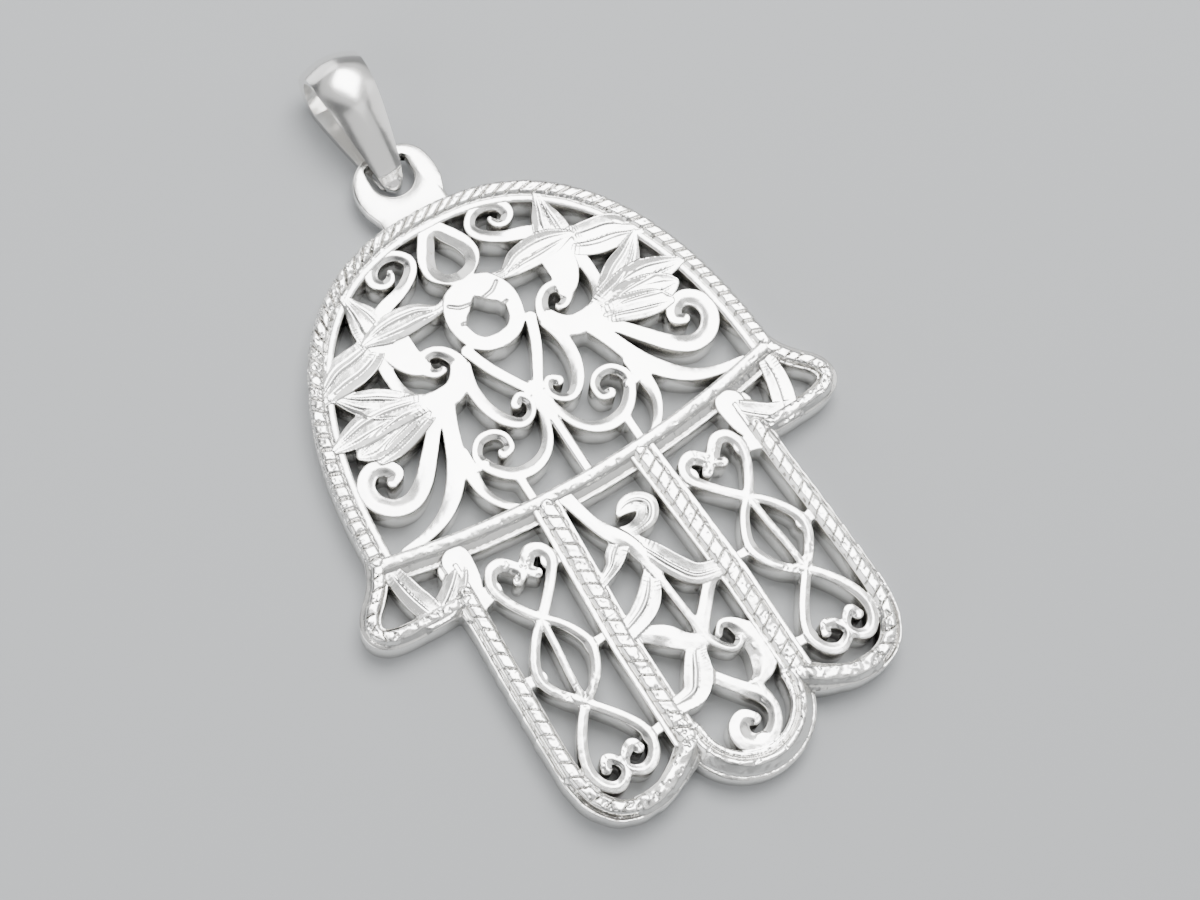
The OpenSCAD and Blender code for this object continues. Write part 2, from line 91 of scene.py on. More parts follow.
# Scroll and leaf tables. Each row is a point on a middle line: across in hundredths of the field's half
# width, out in hundredths of its length, and width in hundredths of SCROLL_W.
PALM = {
    "teardrop": [
        [0, 74.8, 50], [5, 75.6, 54], [9.6, 79.4, 66], [8.8, 84.4, 72], [4.4, 89.8, 70], [0.4, 95.6, 46]],
    "ring": [
        [0, 71, 84], [8, 69.6, 74], [12.8, 65, 64], [13.2, 60, 66], [10.8, 54.8, 66], [5.8, 51.8, 64],
        [0, 51.2, 64]],
    "ring_cheek": [[1, 70, 64], [6, 66.6, 66], [9.6, 62.6, 50]],
    "upper_scroll": [
        [45, 73.6, 60], [36, 77, 60], [26, 79.4, 54], [18.2, 83, 54], [15.6, 87, 50], [19.4, 90.4, 44],
        [26, 91.4, 50], [32, 89.4, 56], [33.4, 86, 54], [30.6, 83.8, 44], [27, 84.2, 40], [25.2, 86.2, 28]],
    "inner_curl": [
        [47, 68, 80], [49, 63, 64], [49.8, 57, 54], [48.8, 51, 56], [45, 46.2, 66], [38, 43.4, 70],
        [30.5, 43.2, 68], [24.6, 46, 66], [21.6, 50.4, 62], [23.4, 55, 54], [28, 57.8, 46],
        [33.2, 57.6, 50], [35.4, 54.4, 48], [32.6, 51.8, 42], [29, 51.4, 32]],
    "bead_scroll": [
        [39, 42.6, 40], [46, 37, 56], [54, 30.4, 66], [62, 24.4, 74], [70, 21.2, 78], [78, 22, 78],
        [83.4, 26.4, 76], [83.4, 31.6, 74], [78.4, 34.8, 70], [72.6, 34, 64], [69.8, 31, 66],
        [72.8, 29, 46]],
    "long_stem": [
        [34, 44, 62], [39.6, 35.4, 66], [45, 26, 76], [52, 18.6, 74], [61, 13, 60], [72, 10, 46],
        [84, 9, 34]],
    "branch_stem": [[42, 26, 60], [43, 19, 58], [42.6, 12.6, 44], [38.6, 7, 38], [32, 2.6, 34]],
    "ring_stem": [[16, 53, 46], [11.6, 45, 46], [5.6, 37.4, 44], [0, 31, 40]],
    "inner_loop": [
        [21, 49, 60], [22.8, 42, 54], [21.8, 34.6, 54], [18, 28.8, 54], [12.6, 25.6, 46], [7.4, 26.6, 38],
        [5, 30, 36], [7.4, 32.8, 40], [10.6, 31.4, 44]],
    "stem_fill": [[23, 50, 60], [26, 46, 84], [31, 44, 90], [38, 44, 84], [46, 45.6, 60]],
    "bowl_scroll": [
        [1.6, 31, 26], [3.2, 24, 34], [7, 17.6, 44], [13, 13.6, 54], [20.6, 12.2, 60], [28.6, 13.8, 58],
        [34.8, 18.4, 50], [36.6, 23.2, 44], [32.6, 26.8, 42], [26.8, 27, 42], [22.8, 24.6, 40],
        [23, 21, 42], [26.6, 20.2, 46]],
    "leaf_lobe": [[41, 69, 140], [40.6, 64.4, 138], [39.8, 60.6, 124], [37.8, 57, 96], [35.4, 55, 60]],
    "bowl_tie": [[36, 20, 34], [42, 20.6, 40]],
    "axis_strut": [[0, 34, 40], [0, 20, 32], [0, 1, 32]],
    "bowl_strut": [[26.6, 12, 34], [26.6, 1, 34]],
}
PALM_LEAVES = {
    "upper_stem": [
        [8, 70.4, 46], [16, 68.8, 42], [21, 69.2, 76], [26, 70.2, 112], [34, 70.6, 130], [41, 70.6, 110],
        [46.6, 70.3, 68], [52, 69.8, 20]],
    "leaf_a_up": [[45, 69.4, 120], [45.4, 73, 156], [46, 77, 130], [47, 80.8, 84], [48.8, 86.6, 34]],
    "leaf_a_out": [
        [46, 69.8, 90], [53, 66.8, 136], [60, 65.4, 160], [67, 64.6, 156], [73.4, 62.8, 110], [82, 60, 40]],
    "leaf_b_up": [[46, 45.4, 80], [54, 49, 120], [61, 52, 134], [67.6, 55, 100], [76, 60.4, 22]],
    "leaf_b_down": [[40, 42.8, 60], [49, 41.4, 100], [58, 39.6, 118], [65.4, 38, 104], [72, 36, 36]],
    "leaf_b_mid": [[44, 44, 60], [54, 43.8, 110], [64, 42.6, 130], [72, 41, 116], [77.6, 40.4, 50]],
    "leaf_b_out": [
        [40, 45, 60], [50, 46, 100], [60, 47, 126], [70, 47, 130], [78, 46.2, 96], [86, 45.4, 36]],
}
# Holes of the palm, as the right half of each loop from its top to its bottom
PALM_HOLES = {
    "teardrop": [[0, 88.4], [2.6, 85.6], [5.4, 82.6], [6.4, 80], [4.6, 77.6], [0, 76.6]],
    "ring": [[0, 66.6], [4, 64.2], [8, 62], [9, 59.4], [8.4, 56.6], [5.4, 54.2], [0, 53.4]],
}
# Fine lines cut in the ring
PALM_CUTS = [
    [[12, 68, 9], [8, 66, 12], [3, 65.4, 9]],
    [[-11, 61, 9], [-8.6, 60.6, 11]],
]
FINGER = {
    "heart_inner": [
        [-8, 31, 44], [-33, 26.2, 42], [-58, 20.8, 42], [-75, 15.8, 46], [-71, 11.6, 54], [-53, 10.2, 62],
        [-39, 12.2, 60], [-33, 14.8, 50], [-43, 17.2, 44]],
    "heart_outer": [
        [-8, 31, 42], [12, 25.6, 40], [28, 19.6, 40], [33, 14, 44], [22, 9.8, 54], [4, 9.2, 58],
        [-12, 11.8, 56], [-20, 14.8, 48], [-9, 16.6, 42]],
    "lens_inner": [
        [-8, 31, 36], [-28, 34.8, 38], [-46, 40.6, 42], [-53, 46, 44], [-44, 51.6, 42], [-24, 56.8, 40],
        [6, 61, 38]],
    "lens_outer": [
        [-8, 31, 36], [14, 34.6, 38], [34, 39.6, 40], [47, 44.8, 42], [47, 49.8, 42], [32, 55, 40],
        [6, 61, 38]],
    "lens_bar": [[-7, 31, 32], [-3, 41, 30], [3, 51, 30], [6, 61, 32]],
    "drop_inner": [
        [6, 61, 38], [-13, 65.4, 40], [-34, 70.8, 42], [-50, 76.4, 44], [-53, 81.4, 44], [-42, 85.8, 48],
        [-22, 88, 50], [-3, 86.6, 42], [4, 84, 34], [-4, 81, 40], [-20, 79.4, 48], [-28, 81.6, 42]],
    "drop_outer": [
        [6, 61, 38], [25, 65, 40], [45, 70.6, 42], [58, 76.4, 44], [61, 81.4, 44], [52, 86, 46],
        [34, 88.4, 50], [16, 87, 42], [9, 84, 34], [15, 81.2, 38], [28, 79.6, 48], [36, 82, 42]],
}
FINGER_TIES = [
    [[-70, 15.4, 60], [-108, 16.2, 60]],
    [[34, 15, 64], [84, 17.6, 70]],
    [[-54, 46, 40], [-104, 45.6, 26]],
    [[46, 47, 50], [84, 46, 44]],
    [[-50, 80, 34], [-104, 79, 50]],
    [[62, 79.6, 30], [96, 78.6, 30]],
    [[60, 1, 120], [62, 9, 100], [72, 16, 50]],
]
MIDDLE = {
    "top_stem": [[-60, 1, 60], [-47, 10, 54], [-32, 16, 66], [-14, 21, 60], [-4, 27, 56], [0, 34, 40]],
    "right_return": [[84, 42, 50], [62, 44.6, 50], [40, 48.6, 54], [14, 53.4, 60]],
    "left_return": [[-94, 45, 60], [-66, 48, 76], [-46, 50.6, 90], [-28, 54, 78], [-2, 57.2, 60]],
    "middle_bar": [[-2, 30, 34], [2, 40, 32], [7, 50, 34], [10, 55, 50]],
    "comma_curl": [[8, 56, 40], [24, 61.2, 36], [42, 63.6, 34], [58, 62.4, 36]],
    "comma_leaf": [
        [30, 58, 30], [44, 55.8, 34], [60, 57.2, 50], [72, 61.6, 86], [77, 67, 104], [68, 71.6, 100],
        [50, 74.4, 60], [34, 75, 34]],
    "s_scroll": [
        [-24, 66, 50], [-3, 71, 54], [18, 75.6, 58], [34, 79.4, 56], [39, 83.4, 52], [30, 87.2, 56],
        [12, 89.8, 64], [-11, 90.4, 76], [-30, 87.6, 84], [-29, 83.8, 84], [-13, 82, 70], [2, 83.8, 50]],
}
MIDDLE_LEAVES = {
    "top_leaf": [[-14, 19, 60], [-40, 22.4, 84], [-60, 25.6, 56], [-96, 28.4, 34]],
    "cup_leaf": [
        [-10, 18.2, 50], [14, 18.8, 58], [38, 17.8, 84], [49, 14.6, 96], [37, 12.2, 86], [18, 11.8, 66],
        [2, 12.8, 30]],
    "right_leaf": [[0, 22, 56], [16, 28.4, 84], [34, 34.6, 90], [56, 39.6, 86], [96, 41.6, 66]],
    "left_leaf": [[-5, 31.6, 54], [-28, 37.2, 90], [-50, 40.6, 100], [-76, 42.6, 86], [-104, 44, 80]],
    "bell_leaf": [[-4, 56, 50], [-22, 60, 90], [-38, 65, 116], [-60, 69, 96], [-104, 69.2, 60]],
}
MIDDLE_TIES = [
    [[76, 66, 44], [104, 67, 40]],
    [[-6, 91, 80], [-9, 93.6, 70]],
    [[40, 75, 30], [39, 80, 40]],
]
THUMB_LEAVES = {
    "thumb_sprig": [[-34, 6, 40], [-22, -20, 70], [-6, -42, 92], [10, -57, 96], [30, -62, 70]],
    "thumb_leaf": [[37, 40, 60], [35, 10, 84], [32, -15, 94], [27, -40, 98], [21, -64, 60]],
}
# Rims, with width in hundredths of RIM_W
FINGER_RIM = [
    [80, 2, 80], [82, 25, 78], [86, 40, 76], [89, 55, 74], [91.6, 70, 74], [91, 79, 78], [84, 86.4, 80],
    [68, 92.2, 80], [44, 96, 78], [12, 97.6, 76], [-22, 97.2, 78], [-52, 95, 88], [-78, 92.4, 104],
    [-104, 89, 120]]
THUMB_RIM = [
    [44, 66, 80], [50, 44, 80], [59, 22, 80], [70, 4, 80], [79, -9, 80], [85, -24, 80], [86, -38, 80],
    [82, -49, 80], [73, -58, 78], [57, -63, 76], [35, -65, 74], [8, -66, 72], [-14, -66, 70]]
# Each field's middle, half width, length and full stroke width
FIELDS = {
    "palm": (0, PALM_HALF, PALM_H, SCROLL_W),
    "finger": (FINGER_PITCH, FINGER_HALF, -FINGER_LEN, SCROLL_W),
    "middle": (0, FINGER_HALF, -MIDDLE_LEN, SCROLL_W),
    "thumb": (FINGER_EDGE, THUMB_W, THUMB_DROP, SCROLL_W),
    "finger_rim": (FINGER_PITCH, FINGER_HALF, -FINGER_LEN, RIM_W),
    "thumb_rim": (FINGER_EDGE, THUMB_W, THUMB_DROP, RIM_W),
}


# Curves
def smooth(rows, steps=6):
    """A smooth curve through the rows."""
    p = np.asarray(rows, float)
    p = np.vstack([p[:1], p, p[-1:]])
    out = []
    for i in range(1, len(p) - 2):
        a, b, c, d = p[i - 1:i + 3]
        for t in np.arange(steps) / steps:
            square, cube = 2 * a - 5 * b + 4 * c - d, 3 * b - a - 3 * c + d
            out.append(0.5 * (2 * b + (c - a) * t + square * t * t + cube * t ** 3))
    return np.array(out + [p[-2]])


def sized(rows, field, mirror=False, steps=6):
    """A table's curve at its real size: x, y and width."""
    mid, half, reach, full = FIELDS[field]
    p = smooth(rows, steps)
    p = np.c_[mid + p[:, 0] / 100 * half, p[:, 1] / 100 * reach, p[:, 2] / 100 * full]
    if mirror:
        p[:, 0] *= -1
    return p


def normals(path):
    """Unit direction and left-hand side of a path at each of its points."""
    d = np.gradient(path[:, :2], axis=0)
    d /= np.maximum(np.linalg.norm(d, axis=1), 1e-9)[:, None]
    return d, np.c_[-d[:, 1], d[:, 0]]


def run(path):
    """Length along a path up to each of its points."""
    return np.r_[0, np.cumsum(np.linalg.norm(np.diff(path[:, :2], axis=0), axis=1))]


def resample(path, s):
    """A path's points and widths at the lengths s along it."""
    keys = run(path)
    return np.c_[[np.interp(s, keys, path[:, k]) for k in range(path.shape[1])]].T


def arch(inset, width, start=3.0, end=177.0, steps=150):
    """The palm's edge, a superellipse between two angles in degrees, moved in by an inset."""
    t = np.radians(np.linspace(start, end, steps))
    p = 2 / ARCH_POWER
    x = (PALM_HALF - inset) * np.sign(np.cos(t)) * np.abs(np.cos(t)) ** p
    y = (PALM_H - inset) * np.sin(t) ** p
    return np.c_[x, y, np.full(steps, width)]


def band_line(lift, width, reach=0.95, steps=60):
    """The band across the hand, which rises towards its ends."""
    x = np.linspace(-1, 1, steps) * reach * PALM_HALF
    return np.c_[x, BAND_RISE * (x / PALM_HALF) ** 2 + lift, np.full(steps, width)]


def divider_line(offset, width, out=1.0, mirror=False, steps=30):
    """The divider beside the middle finger, from the band down."""
    s = np.linspace(0, out, steps)
    x = DIVIDER_TOP_X + (DIVIDER_X - DIVIDER_TOP_X) * np.minimum(s / 0.6, 1) + offset
    path = np.c_[x, MIDDLE_MID * s, np.full(steps, width)]
    return flip(path) if mirror else path


def middle_rim(inset, width, steps=48):
    """The round end of the middle finger."""
    a = np.radians(np.linspace(178, 362, steps))
    r = MIDDLE_R - inset
    return np.c_[r * np.cos(a), MIDDLE_MID + r * np.sin(a), np.full(steps, width)]


def beside(path, out, offset, width):
    """A path beside another, offset to the left of its run where out is 1, with a width of its own."""
    _, side = normals(path)
    return np.c_[path[:, :2] + side * out * offset, np.full(len(path), width)]


def stretch(path, start, end, steps):
    """A path between two lengths along it, or up to its end."""
    return resample(path, np.linspace(start, run(path)[-1] if end is None else end, steps))


def loop_of(rows):
    """A closed loop from the rows of its right half, top to bottom."""
    right = smooth([[x, y, 0] for x, y in rows])
    left = right[-2:0:-1] * [-1, 1, 1]
    return np.vstack([right, left])[:, :2] / 100 * [PALM_HALF, PALM_H]


def even(loop, n):
    """A closed loop as n evenly spaced points."""
    closed = np.vstack([loop, loop[:1]])
    return resample(closed, np.linspace(0, run(closed)[-1], n, endpoint=False))


def flip(path):
    """A path's mirror image in the hand's middle line."""
    return path * np.array([-1, 1, 1])


# Modelling
def clear_selection():
    """Leaves edit mode and deselects everything."""
    if bpy.context.object and bpy.context.object.mode != "OBJECT":
        bpy.ops.object.mode_set(mode="OBJECT")
    bpy.ops.object.select_all(action="DESELECT")


def laid_grid(points):
    """A grid laid on an array of points, rows by columns, in millimetres."""
    nu, nv = points.shape[:2]
    bpy.ops.mesh.primitive_grid_add(x_subdivisions=nu - 1, y_subdivisions=nv - 1, size=2)
    obj = bpy.context.active_object
    co = np.empty(len(obj.data.vertices) * 3)
    obj.data.vertices.foreach_get("co", co)
    co = co.reshape(-1, 3)
    i = np.rint((co[:, 0] + 1) / 2 * (nu - 1)).astype(int)
    j = np.rint((co[:, 1] + 1) / 2 * (nv - 1)).astype(int)
    obj.data.vertices.foreach_set("co", (points[i, j] * MM).ravel())
    obj.data.update()
    return obj, i * nv + j


# Leaf: the share of its length over which its petals fade in and out, what is left of them at its tip, where
# along it its base rises, how steep a petal is at its edge, and the depth and half width of a fine line
LEAF_FADE, TIP_LEFT = 0.35, 0.35
BASE_FROM, BASE_TO = 0.1, 1.5
LEAF_STEP = 0.2
LINE_DEPTH, LINE_HALF = 0.025, 0.11
# Bends: the points that a path's bend is averaged over, and how fast it counts as a tight one
BEND_SPAN, BEND_GAIN = 9, 2.2
# A stroke's top goes on outside its edge as a falling skirt, so that strokes merge without a crack
STROKE_MARGIN = 0.5
SKIRT, SKIRT_FALL = 0.45, 1.2
# Cut lines, the reach of a dish round a hole, and the lowest that a top lies below the plate's face
CUT_DEPTH, CUT_EDGE = 0.07, 0.06
DISH_REACH = 0.62
DEEPEST = 0.25
# Size of the pits, dents and frayed edges of a worn stretch, and of the unevenness all over
WORN_PIT, WORN_DENT, WORN_EDGE = 0.2, 0.34, 0.5
UNEVEN_COARSE, UNEVEN_FINE = 0.6, 0.24
# Outlines: how far each round moves a point towards its neighbours, and the least squared slope that a step
# back onto the outline divides by
EVENING = 0.65
LEAST_SLOPE = 0.2
# Shares of a bevel that each of its rings goes out and down
BEVEL_RINGS = ((0.6, 0.2), (0.4, 0.6))
# Depth and height of a point that no stroke covers
NO_DEPTH, NO_HEIGHT = -3.0, -9.0


def lay(x, y, path):
    """How a stroke covers points: depth inside its edge, place across it (-1 to 1) and length along it."""
    depth = np.full(x.shape, -np.inf)
    across = np.zeros(x.shape)
    along = np.zeros(x.shape)
    keys = run(path)
    for a, b, s0, s1 in zip(path[:-1], path[1:], keys[:-1], keys[1:]):
        d = b[:2] - a[:2]
        reach = d @ d
        if reach < 1e-12:
            continue
        u = np.clip(((x - a[0]) * d[0] + (y - a[1]) * d[1]) / reach, 0, 1)
        off_x = x - a[0] - u * d[0]
        off_y = y - a[1] - u * d[1]
        dist = np.hypot(off_x, off_y)
        half = (a[2] + (b[2] - a[2]) * u) / 2
        nearer = half - dist > depth
        left = np.where(d[0] * off_y - d[1] * off_x >= 0, 1, -1)
        depth = np.where(nearer, half - dist, depth)
        across = np.where(nearer, left * dist / np.maximum(half, 1e-6), across)
        along = np.where(nearer, s0 + u * (s1 - s0), along)
    return depth, across, along


def ramp(value, low, high):
    """Rises smoothly from 0 at low to 1 at high."""
    t = np.clip((value - low) / (high - low), 0, 1)
    return t * t * (3 - 2 * t)


def ripple(x, y, size, seed):
    """Smooth noise from -1 to 1 with lumps of the given size."""
    rng = np.random.default_rng(seed)
    table = rng.uniform(-1, 1, (256, 256))
    i, j = np.floor(x / size).astype(int), np.floor(y / size).astype(int)
    u, v = ramp(x / size - i, 0, 1), ramp(y / size - j, 0, 1)
    near = table[i % 256, j % 256] * (1 - u) + table[(i + 1) % 256, j % 256] * u
    far = table[i % 256, (j + 1) % 256] * (1 - u) + table[(i + 1) % 256, (j + 1) % 256] * u
    return near * (1 - v) + far * v


def bend_of(path):
    """Which way a path bends at each point: 1 for a tight turn to the left, -1 to the right."""
    d, _ = normals(path)
    turn = np.gradient(np.unwrap(np.arctan2(d[:, 1], d[:, 0]))) / np.maximum(np.gradient(run(path)), 1e-6)
    turn = np.pad(turn, BEND_SPAN // 2, mode="edge")
    return np.tanh(np.convolve(turn, np.ones(BEND_SPAN) / BEND_SPAN, mode="valid") * BEND_GAIN)


def vary(value, share):
    """A size that stays the same along a stroke, or is given as shares of its length and values there."""
    return value if np.isscalar(value) else np.interp(share, *value)


def scroll_top(spec, across, along):
    """A cast scroll: a flat or roofed crown that slopes down inside its bends, or on a named side."""
    t = np.clip(across, -1, 1)
    keys = run(spec["path"])
    bend = np.interp(along, keys, spec["bend"])
    slope = vary(spec["slope"], along / keys[-1])
    crown = spec["z"] + spec["crown"] * (1 - t * t) - spec["roof"] * np.abs(t)
    inside = spec["tilt"] * ramp(t * bend, -0.15, 1.0)
    return crown - inside - slope * np.clip((t * spec["side"] - spec["start"]) / (1 - spec["start"]), 0, 1)


def leaf_top(spec, across, along):
    """A leaf of broad petals: each rises across to a crest and falls over a short step, with fine lines."""
    t = np.clip(across, -1, 1)
    keys = run(spec["path"])
    half = np.interp(along, keys, spec["path"][:, 2]) / 2
    reach = keys[-1] * LEAF_FADE
    fade = ramp(along, 0, reach) * (TIP_LEFT + (1 - TIP_LEFT) * ramp(keys[-1] - along, 0, reach))
    z = spec["z"] - spec["sink"] * (1 - ramp(along, BASE_FROM, BASE_TO))
    edges = np.r_[-1.0, spec["veins"], 1.0]
    for k, (low, high) in enumerate(zip(edges[:-1], edges[1:])):
        share = np.clip((t - low) / (high - low), 0, 1)
        lift = spec["petal"] * (0.8 + 0.2 * (-1) ** k)
        crest = share ** 1.2 * (ramp((high - t) * half, 0, LEAF_STEP) if high < 1 else 1)
        z = z + np.where((t >= low) & (t <= high), lift * fade * (crest - 0.4), 0)
    for line in spec["lines"]:
        z = z - LINE_DEPTH * fade * (1 - ramp(np.abs(t - line) * half, 0.0, LINE_HALF))
    return z


def rope_top(spec, across, along):
    """Twisted rope: slanted strands parted by fine grooves, flat or round as the swell says."""
    t = np.clip(across, -1, 1)
    half = spec["path"][0, 2] / 2
    slant = np.interp(along, run(spec["path"]), spec["slant"])
    place = along + half * t / np.tan(np.radians(slant))
    strand = np.interp(place, spec["marks"], np.arange(len(spec["marks"])))
    which = np.floor(strand).astype(int)
    edge = np.minimum(strand - which, 1 - strand + which)
    swell = np.sqrt(1 - (1 - ramp(edge, 0, spec["swell"])) ** 2)
    shoulder = np.sqrt(np.clip(1 - np.abs(t) ** 5, 0, 1))
    uneven = spec["uneven"][which % len(spec["uneven"])]
    return spec["z"] + (spec["rise"] * (1 - spec["groove"] * (1 - swell)) + uneven) * shoulder


TOPS = {"scroll": scroll_top, "leaf": leaf_top, "rope": rope_top}
# What a stroke has unless it says otherwise. All: height, rounded rim, how softly it merges, wear. Scroll:
# rise of its crown, fall of its roof, tilt inside bends, slope to one side and where across that starts.
# Leaf: lift of its petals, veins between them, fine lines, sinking at its base.
STROKE = {
    "z": PLATE_T + 0.3, "round": 0.001, "merge": 0.26, "worn": 0,
    "crown": 0.0, "roof": 0, "tilt": 0.12, "slope": 0, "side": 1, "start": 0,
    "petal": 0.1, "veins": [], "lines": [], "sink": 0.16,
}
# Ropes: length and slant of a strand, seed of its unevenness, then height of the bed, rise of the strands,
# share of a strand that its rounded edge takes, depth of the gaps as a share of the rise, and wear
ROPES = {
    "finger": (0.8, 58, 9, {
        "z": PLATE_T + 0.02, "rise": 0.5, "swell": 0.11, "groove": 0.34, "worn": ([0.7, 0.9], [0.03, 0.1])}),
    "thumb": (0.7, -56, 13, {
        "z": PLATE_T, "rise": 0.48, "swell": 0.14, "groove": 0.34, "worn": ([0.6, 1], [0.04, 0.1])}),
    "divider": (0.84, 62, 5, {
        "z": PLATE_T + 0.02, "rise": 0.5, "swell": 0.11, "groove": 0.32,
        "worn": ([0, 0.7, 1], [0.03, 0.04, 0.08])}),
    "border": (0.76, ([0, 0.12, 0.3, 0.5, 0.72, 0.86, 1], [-70, -60, -44, -36, -44, -80, -88]), 3, {
        "z": PLATE_T, "rise": 0.55, "swell": 0.28, "groove": 0.38,
        "worn": ([0, 0.5, 0.58, 0.78, 0.84, 1], [0.03, 0.03, 0.13, 0.15, 0.04, 0.03])}),
}
# How far the length of a strand varies, as a share of it, and its height, in millimetres
STRAND_SPREAD = 0.16
STRAND_LOW, STRAND_HIGH = -0.05, 0.02


def stroke(path, top="scroll", **kw):
    """One stroke of a relief, with its height rule and that rule's sizes in millimetres."""
    return {**STROKE, "path": path, "top": top, "bend": bend_of(path), **kw}


def rope_stroke(path, kind, mirror=False):
    """A rope along a path, with strands of slightly uneven length."""
    pitch, slant, seed, sizes = ROPES[kind]
    rng = np.random.default_rng(seed + mirror)
    n = int(run(path)[-1] / pitch) + 6
    marks = np.cumsum(np.r_[-2.0 * pitch, pitch * (1 + rng.uniform(-STRAND_SPREAD, STRAND_SPREAD, n))])
    slants = (-1 if mirror else 1) * vary(slant, np.linspace(0, 1, len(path))) + np.zeros(len(path))
    uneven = rng.uniform(STRAND_LOW, STRAND_HIGH, n)
    return stroke(path, "rope", marks=marks, slant=slants, uneven=uneven, **sizes)


def inside_loop(x, y, loop):
    """Distance inside a closed loop, negative outside it."""
    ring = np.c_[np.vstack([loop, loop[:1]]), np.zeros(len(loop) + 1)]
    depth, _, _ = lay(x, y, ring)
    odd = np.zeros(x.shape, bool)
    for a, b in zip(ring[:-1], ring[1:]):
        if a[1] != b[1]:
            odd ^= ((a[1] > y) != (b[1] > y)) & (x < a[0] + (y - a[1]) * (b[0] - a[0]) / (b[1] - a[1]))
    return np.where(odd, -depth, depth)


def shaped(strokes, box, cell, cuts, holes, rough):
    """The skin of a relief: grid points with how deep in the metal they lie, and their heights."""
    x0, x1, y0, y1 = box
    xs = np.linspace(x0, x1, int((x1 - x0) / cell) + 1)
    ys = np.linspace(y0, y1, int((y1 - y0) / cell) + 1)
    x, y = np.meshgrid(xs, ys, indexing="ij")
    depth = np.full(x.shape, NO_DEPTH)
    z = np.full(x.shape, NO_HEIGHT)
    r = np.full(x.shape, STROKE["round"])
    worn = np.zeros(x.shape)
    for spec in strokes:
        path = spec["path"]
        far = path[:, 2].max() / 2 + STROKE_MARGIN
        i0, i1 = np.searchsorted(xs, [path[:, 0].min() - far, path[:, 0].max() + far])
        j0, j1 = np.searchsorted(ys, [path[:, 1].min() - far, path[:, 1].max() + far])
        if i1 - i0 < 2 or j1 - j0 < 2:
            continue
        part = np.s_[i0:i1, j0:j1]
        inside, across, along = lay(x[part], y[part], path)
        r[part] = np.where(inside > depth[part], spec["round"], r[part])
        share = along / run(path)[-1]
        worn[part] = np.maximum(worn[part], vary(spec["worn"], share) * ramp(inside, -0.1, 0.1))
        over = np.clip(spec["merge"] - np.abs(depth[part] - inside), 0, None)
        depth[part] = np.maximum(depth[part], inside) + over ** 2 / (4 * spec["merge"])
        top = TOPS[spec["top"]](spec, across, along) + np.minimum(inside, 0) * SKIRT_FALL
        z[part] = np.where(inside > -SKIRT, np.maximum(z[part], top), z[part])
    for path in cuts:
        inside, _, _ = lay(x, y, path)
        z -= CUT_DEPTH * ramp(inside, -CUT_EDGE, CUT_EDGE)
    for loop, dish in holes:
        outside = -inside_loop(x, y, loop)
        depth = np.minimum(depth, outside)
        z -= dish * (1 - np.clip(outside / DISH_REACH, 0, 1))
    z = np.maximum(z, PLATE_T - DEEPEST)
    pits = ramp(ripple(x, y, WORN_PIT, 3), 0.25, 0.8)
    z += worn * (0.5 * ripple(x, y, WORN_DENT, 4) - 0.6 * pits)
    depth += worn * 0.5 * ripple(x, y, WORN_EDGE, 5)
    z -= r - np.sqrt(r * r - (r - np.clip(depth, 0, r)) ** 2)
    z += rough * (0.6 * ripple(x, y, UNEVEN_COARSE, 1) + 0.4 * ripple(x, y, UNEVEN_FINE, 2))
    return x, y, z, depth


def relief(strokes, box, cell, cuts=(), holes=(), rough=0.01, bevel=0.05, low=0.0):
    """A pierced relief: a grid shaped to the strokes' heights, cut to their outline and closed below."""
    x, y, z, depth = shaped(strokes, box, cell, cuts, holes, rough)
    depth = depth - bevel
    fields = {"x": x[:, 0], "y": y[0], "z": z, "depth": depth}
    fields["dx"], fields["dy"] = np.gradient(depth, x[1, 0] - x[0, 0], y[0, 1] - y[0, 0])
    near = np.zeros(depth.shape, bool)
    for axis in (0, 1):
        a = np.moveaxis(depth, axis, 0)
        mark = np.moveaxis(near, axis, 0)
        crossing = a[:-1] * a[1:] < 0
        first = np.abs(a[:-1]) <= np.abs(a[1:])
        mark[:-1] |= crossing & first
        mark[1:] |= crossing & ~first
    steep = np.maximum(fields["dx"] ** 2 + fields["dy"] ** 2, LEAST_SLOPE)
    most = 0.7 * cell
    x = np.where(near, x + np.clip(-depth * fields["dx"] / steep, -most, most), x)
    y = np.where(near, y + np.clip(-depth * fields["dy"] / steep, -most, most), y)
    state = np.where(near, 0, np.sign(depth)).astype(int)
    obj, order = laid_grid(np.dstack([x, y, z]))
    trim(obj, state.ravel()[order], depth.ravel()[order])
    even_edge(obj, fields, cell)
    close_down(obj, fields, bevel, low)
    return obj


def sample(fields, name, co):
    """A field's values at points between those of its grid."""
    f = fields[name]
    u = np.clip(np.interp(co[:, 0], fields["x"], np.arange(f.shape[0])), 0, f.shape[0] - 1.001)
    v = np.clip(np.interp(co[:, 1], fields["y"], np.arange(f.shape[1])), 0, f.shape[1] - 1.001)
    i, j = u.astype(int), v.astype(int)
    u, v = u - i, v - j
    near = f[i, j] * (1 - u) + f[i + 1, j] * u
    return near * (1 - v) + (f[i, j + 1] * (1 - u) + f[i + 1, j + 1] * u) * v


def points_of(mesh):
    """A mesh's vertices, in millimetres."""
    co = np.empty(len(mesh.vertices) * 3)
    mesh.vertices.foreach_get("co", co)
    return co.reshape(-1, 3) / MM


def place_points(mesh, co):
    """Puts a mesh's vertices at points in millimetres."""
    mesh.vertices.foreach_set("co", (co * MM).ravel())
    mesh.update()


def border_edges(mesh):
    """Pairs of vertices at the edges that only one face uses."""
    ends = np.empty(len(mesh.edges) * 2, int)
    mesh.edges.foreach_get("vertices", ends)
    used = np.empty(len(mesh.loops), int)
    mesh.loops.foreach_get("edge_index", used)
    return ends.reshape(-1, 2)[np.bincount(used, minlength=len(mesh.edges)) == 1]


